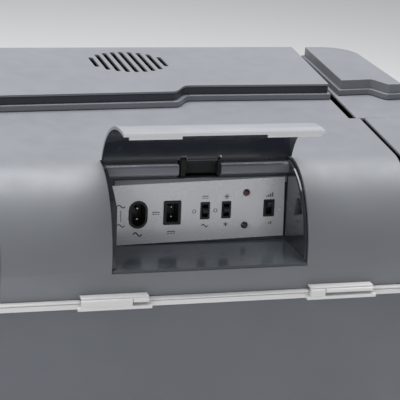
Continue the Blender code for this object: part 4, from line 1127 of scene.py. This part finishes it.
SMALL_ROUNDING = {
    "panel_plate": 0,
    "hinge_base_left": 0.0003,
    "hinge_base_right": 0.0003,
    "hinge_pin_left": 0.0002,
    "hinge_pin_right": 0.0002,
    "lid_hinge_left": 0.0002,
    "lid_hinge_right": 0.0002,
    "flap_pin": 0.0002,
    "power_slider": 0.00025,
    "mode_slider": 0.00025,
    "level_slider": 0.00025,
    "power_switch": 0.0002,
    "mode_switch": 0.0002,
    "level_switch": 0.0002,
    "hot_heatsink": 0.0002,
    "cold_heatsink": 0.0002,
}
# The lid's foam takes a near-black painted shade in place of the cream foam colour.
KEPT = {"body_foam": "foam", "lid_foam": "dark_foam"}


def build_refined():
    for node, (finish, body, slot) in REFINED.items():
        width = SMALL_ROUNDING.get(node, 0.0004)
        refined(node, finish, body, (width, 2) if width else None)
    for node, finish in KEPT.items():
        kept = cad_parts[node]
        kept.data.materials.clear()
        kept.data.materials.append(M[finish])


# Stage, lights and camera

CAMERA_PLACE = (-0.32031, -1.20675, 0.78069)
CAMERA_YAW = math.radians(16.98)
CAMERA_PITCH = math.radians(19.40)
CAMERA_ROLL = math.radians(3.98)
CAMERA_LENS = 136.2
FLOOR_REACH = 6.0


def build_floor():
    mesh = bpy.data.meshes.new("floor")
    corners = [(-FLOOR_REACH, -FLOOR_REACH, 0), (FLOOR_REACH, -FLOOR_REACH, 0),
               (FLOOR_REACH, FLOOR_REACH, 0), (-FLOOR_REACH, FLOOR_REACH, 0)]
    mesh.from_pydata(corners, [], [(0, 1, 2, 3)])
    paint = surface("floor_paint", (0.86, 0.86, 0.86), 0.75, mottle=(2, 0.01), grain=(300, 0.00002, EVEN))
    mesh.materials.append(paint)
    floor = bpy.data.objects.new("floor", mesh)
    bpy.context.scene.collection.objects.link(floor)


def add_light(name, place, target, size, power):
    light = bpy.data.lights.new(name, "AREA")
    light.shape = "RECTANGLE"
    light.size, light.size_y = size
    light.energy = power
    made = bpy.data.objects.new(name, light)
    bpy.context.scene.collection.objects.link(made)
    made.location = place
    aim = Vector(target) - Vector(place)
    made.rotation_euler = aim.to_track_quat("-Z", "Y").to_euler()


def build_lights():
    world = bpy.data.worlds.new("studio")
    bpy.context.scene.world = world
    world.use_nodes = True
    world.node_tree.nodes["Background"].inputs["Color"].default_value = (0.93, 0.96, 1.0, 1)
    world.node_tree.nodes["Background"].inputs["Strength"].default_value = 0.30
    add_light("top_softbox", (0.1, 0.3, 2.2), (0, 0, 0.4), (2.2, 1.6), 66)
    add_light("left_softbox", (-1.6, -1.0, 1.4), (0, 0, 0.35), (1.2, 1.0), 8)


def build_camera():
    yaw, pitch, roll = CAMERA_YAW, CAMERA_PITCH, CAMERA_ROLL
    level = Vector((math.sin(yaw), math.cos(yaw), 0))
    forward = level * math.cos(pitch) - Vector((0, 0, math.sin(pitch)))
    right = Vector((math.cos(yaw), -math.sin(yaw), 0))
    up = level * math.sin(pitch) + Vector((0, 0, math.cos(pitch)))
    across = right * math.cos(roll) + up * math.sin(roll)
    above = up * math.cos(roll) - right * math.sin(roll)
    camera = bpy.data.objects.new("camera", bpy.data.cameras.new("camera"))
    bpy.context.scene.collection.objects.link(camera)
    turn = Matrix((across, above, -forward)).transposed()
    camera.matrix_world = SHIFT @ Matrix.Translation(CAMERA_PLACE) @ turn.to_4x4()
    camera.data.lens = CAMERA_LENS
    camera.data.sensor_width = 36
    camera.data.clip_start = 0.05
    camera.data.clip_end = 50
    bpy.context.scene.camera = camera


bpy.context.scene.view_settings.view_transform = "Standard"
build_camera()
build_outer_shell()
build_inner_liner()
build_feet()
build_handle()
build_handle_pivots()
build_lid_cover()
build_end_covers()
build_deck()
build_lid_inside()
build_bay_liner()
build_bay_trim()
build_flap()
build_inlets()
build_marks()
build_rotors()
build_refined()
build_floor()
build_lights()
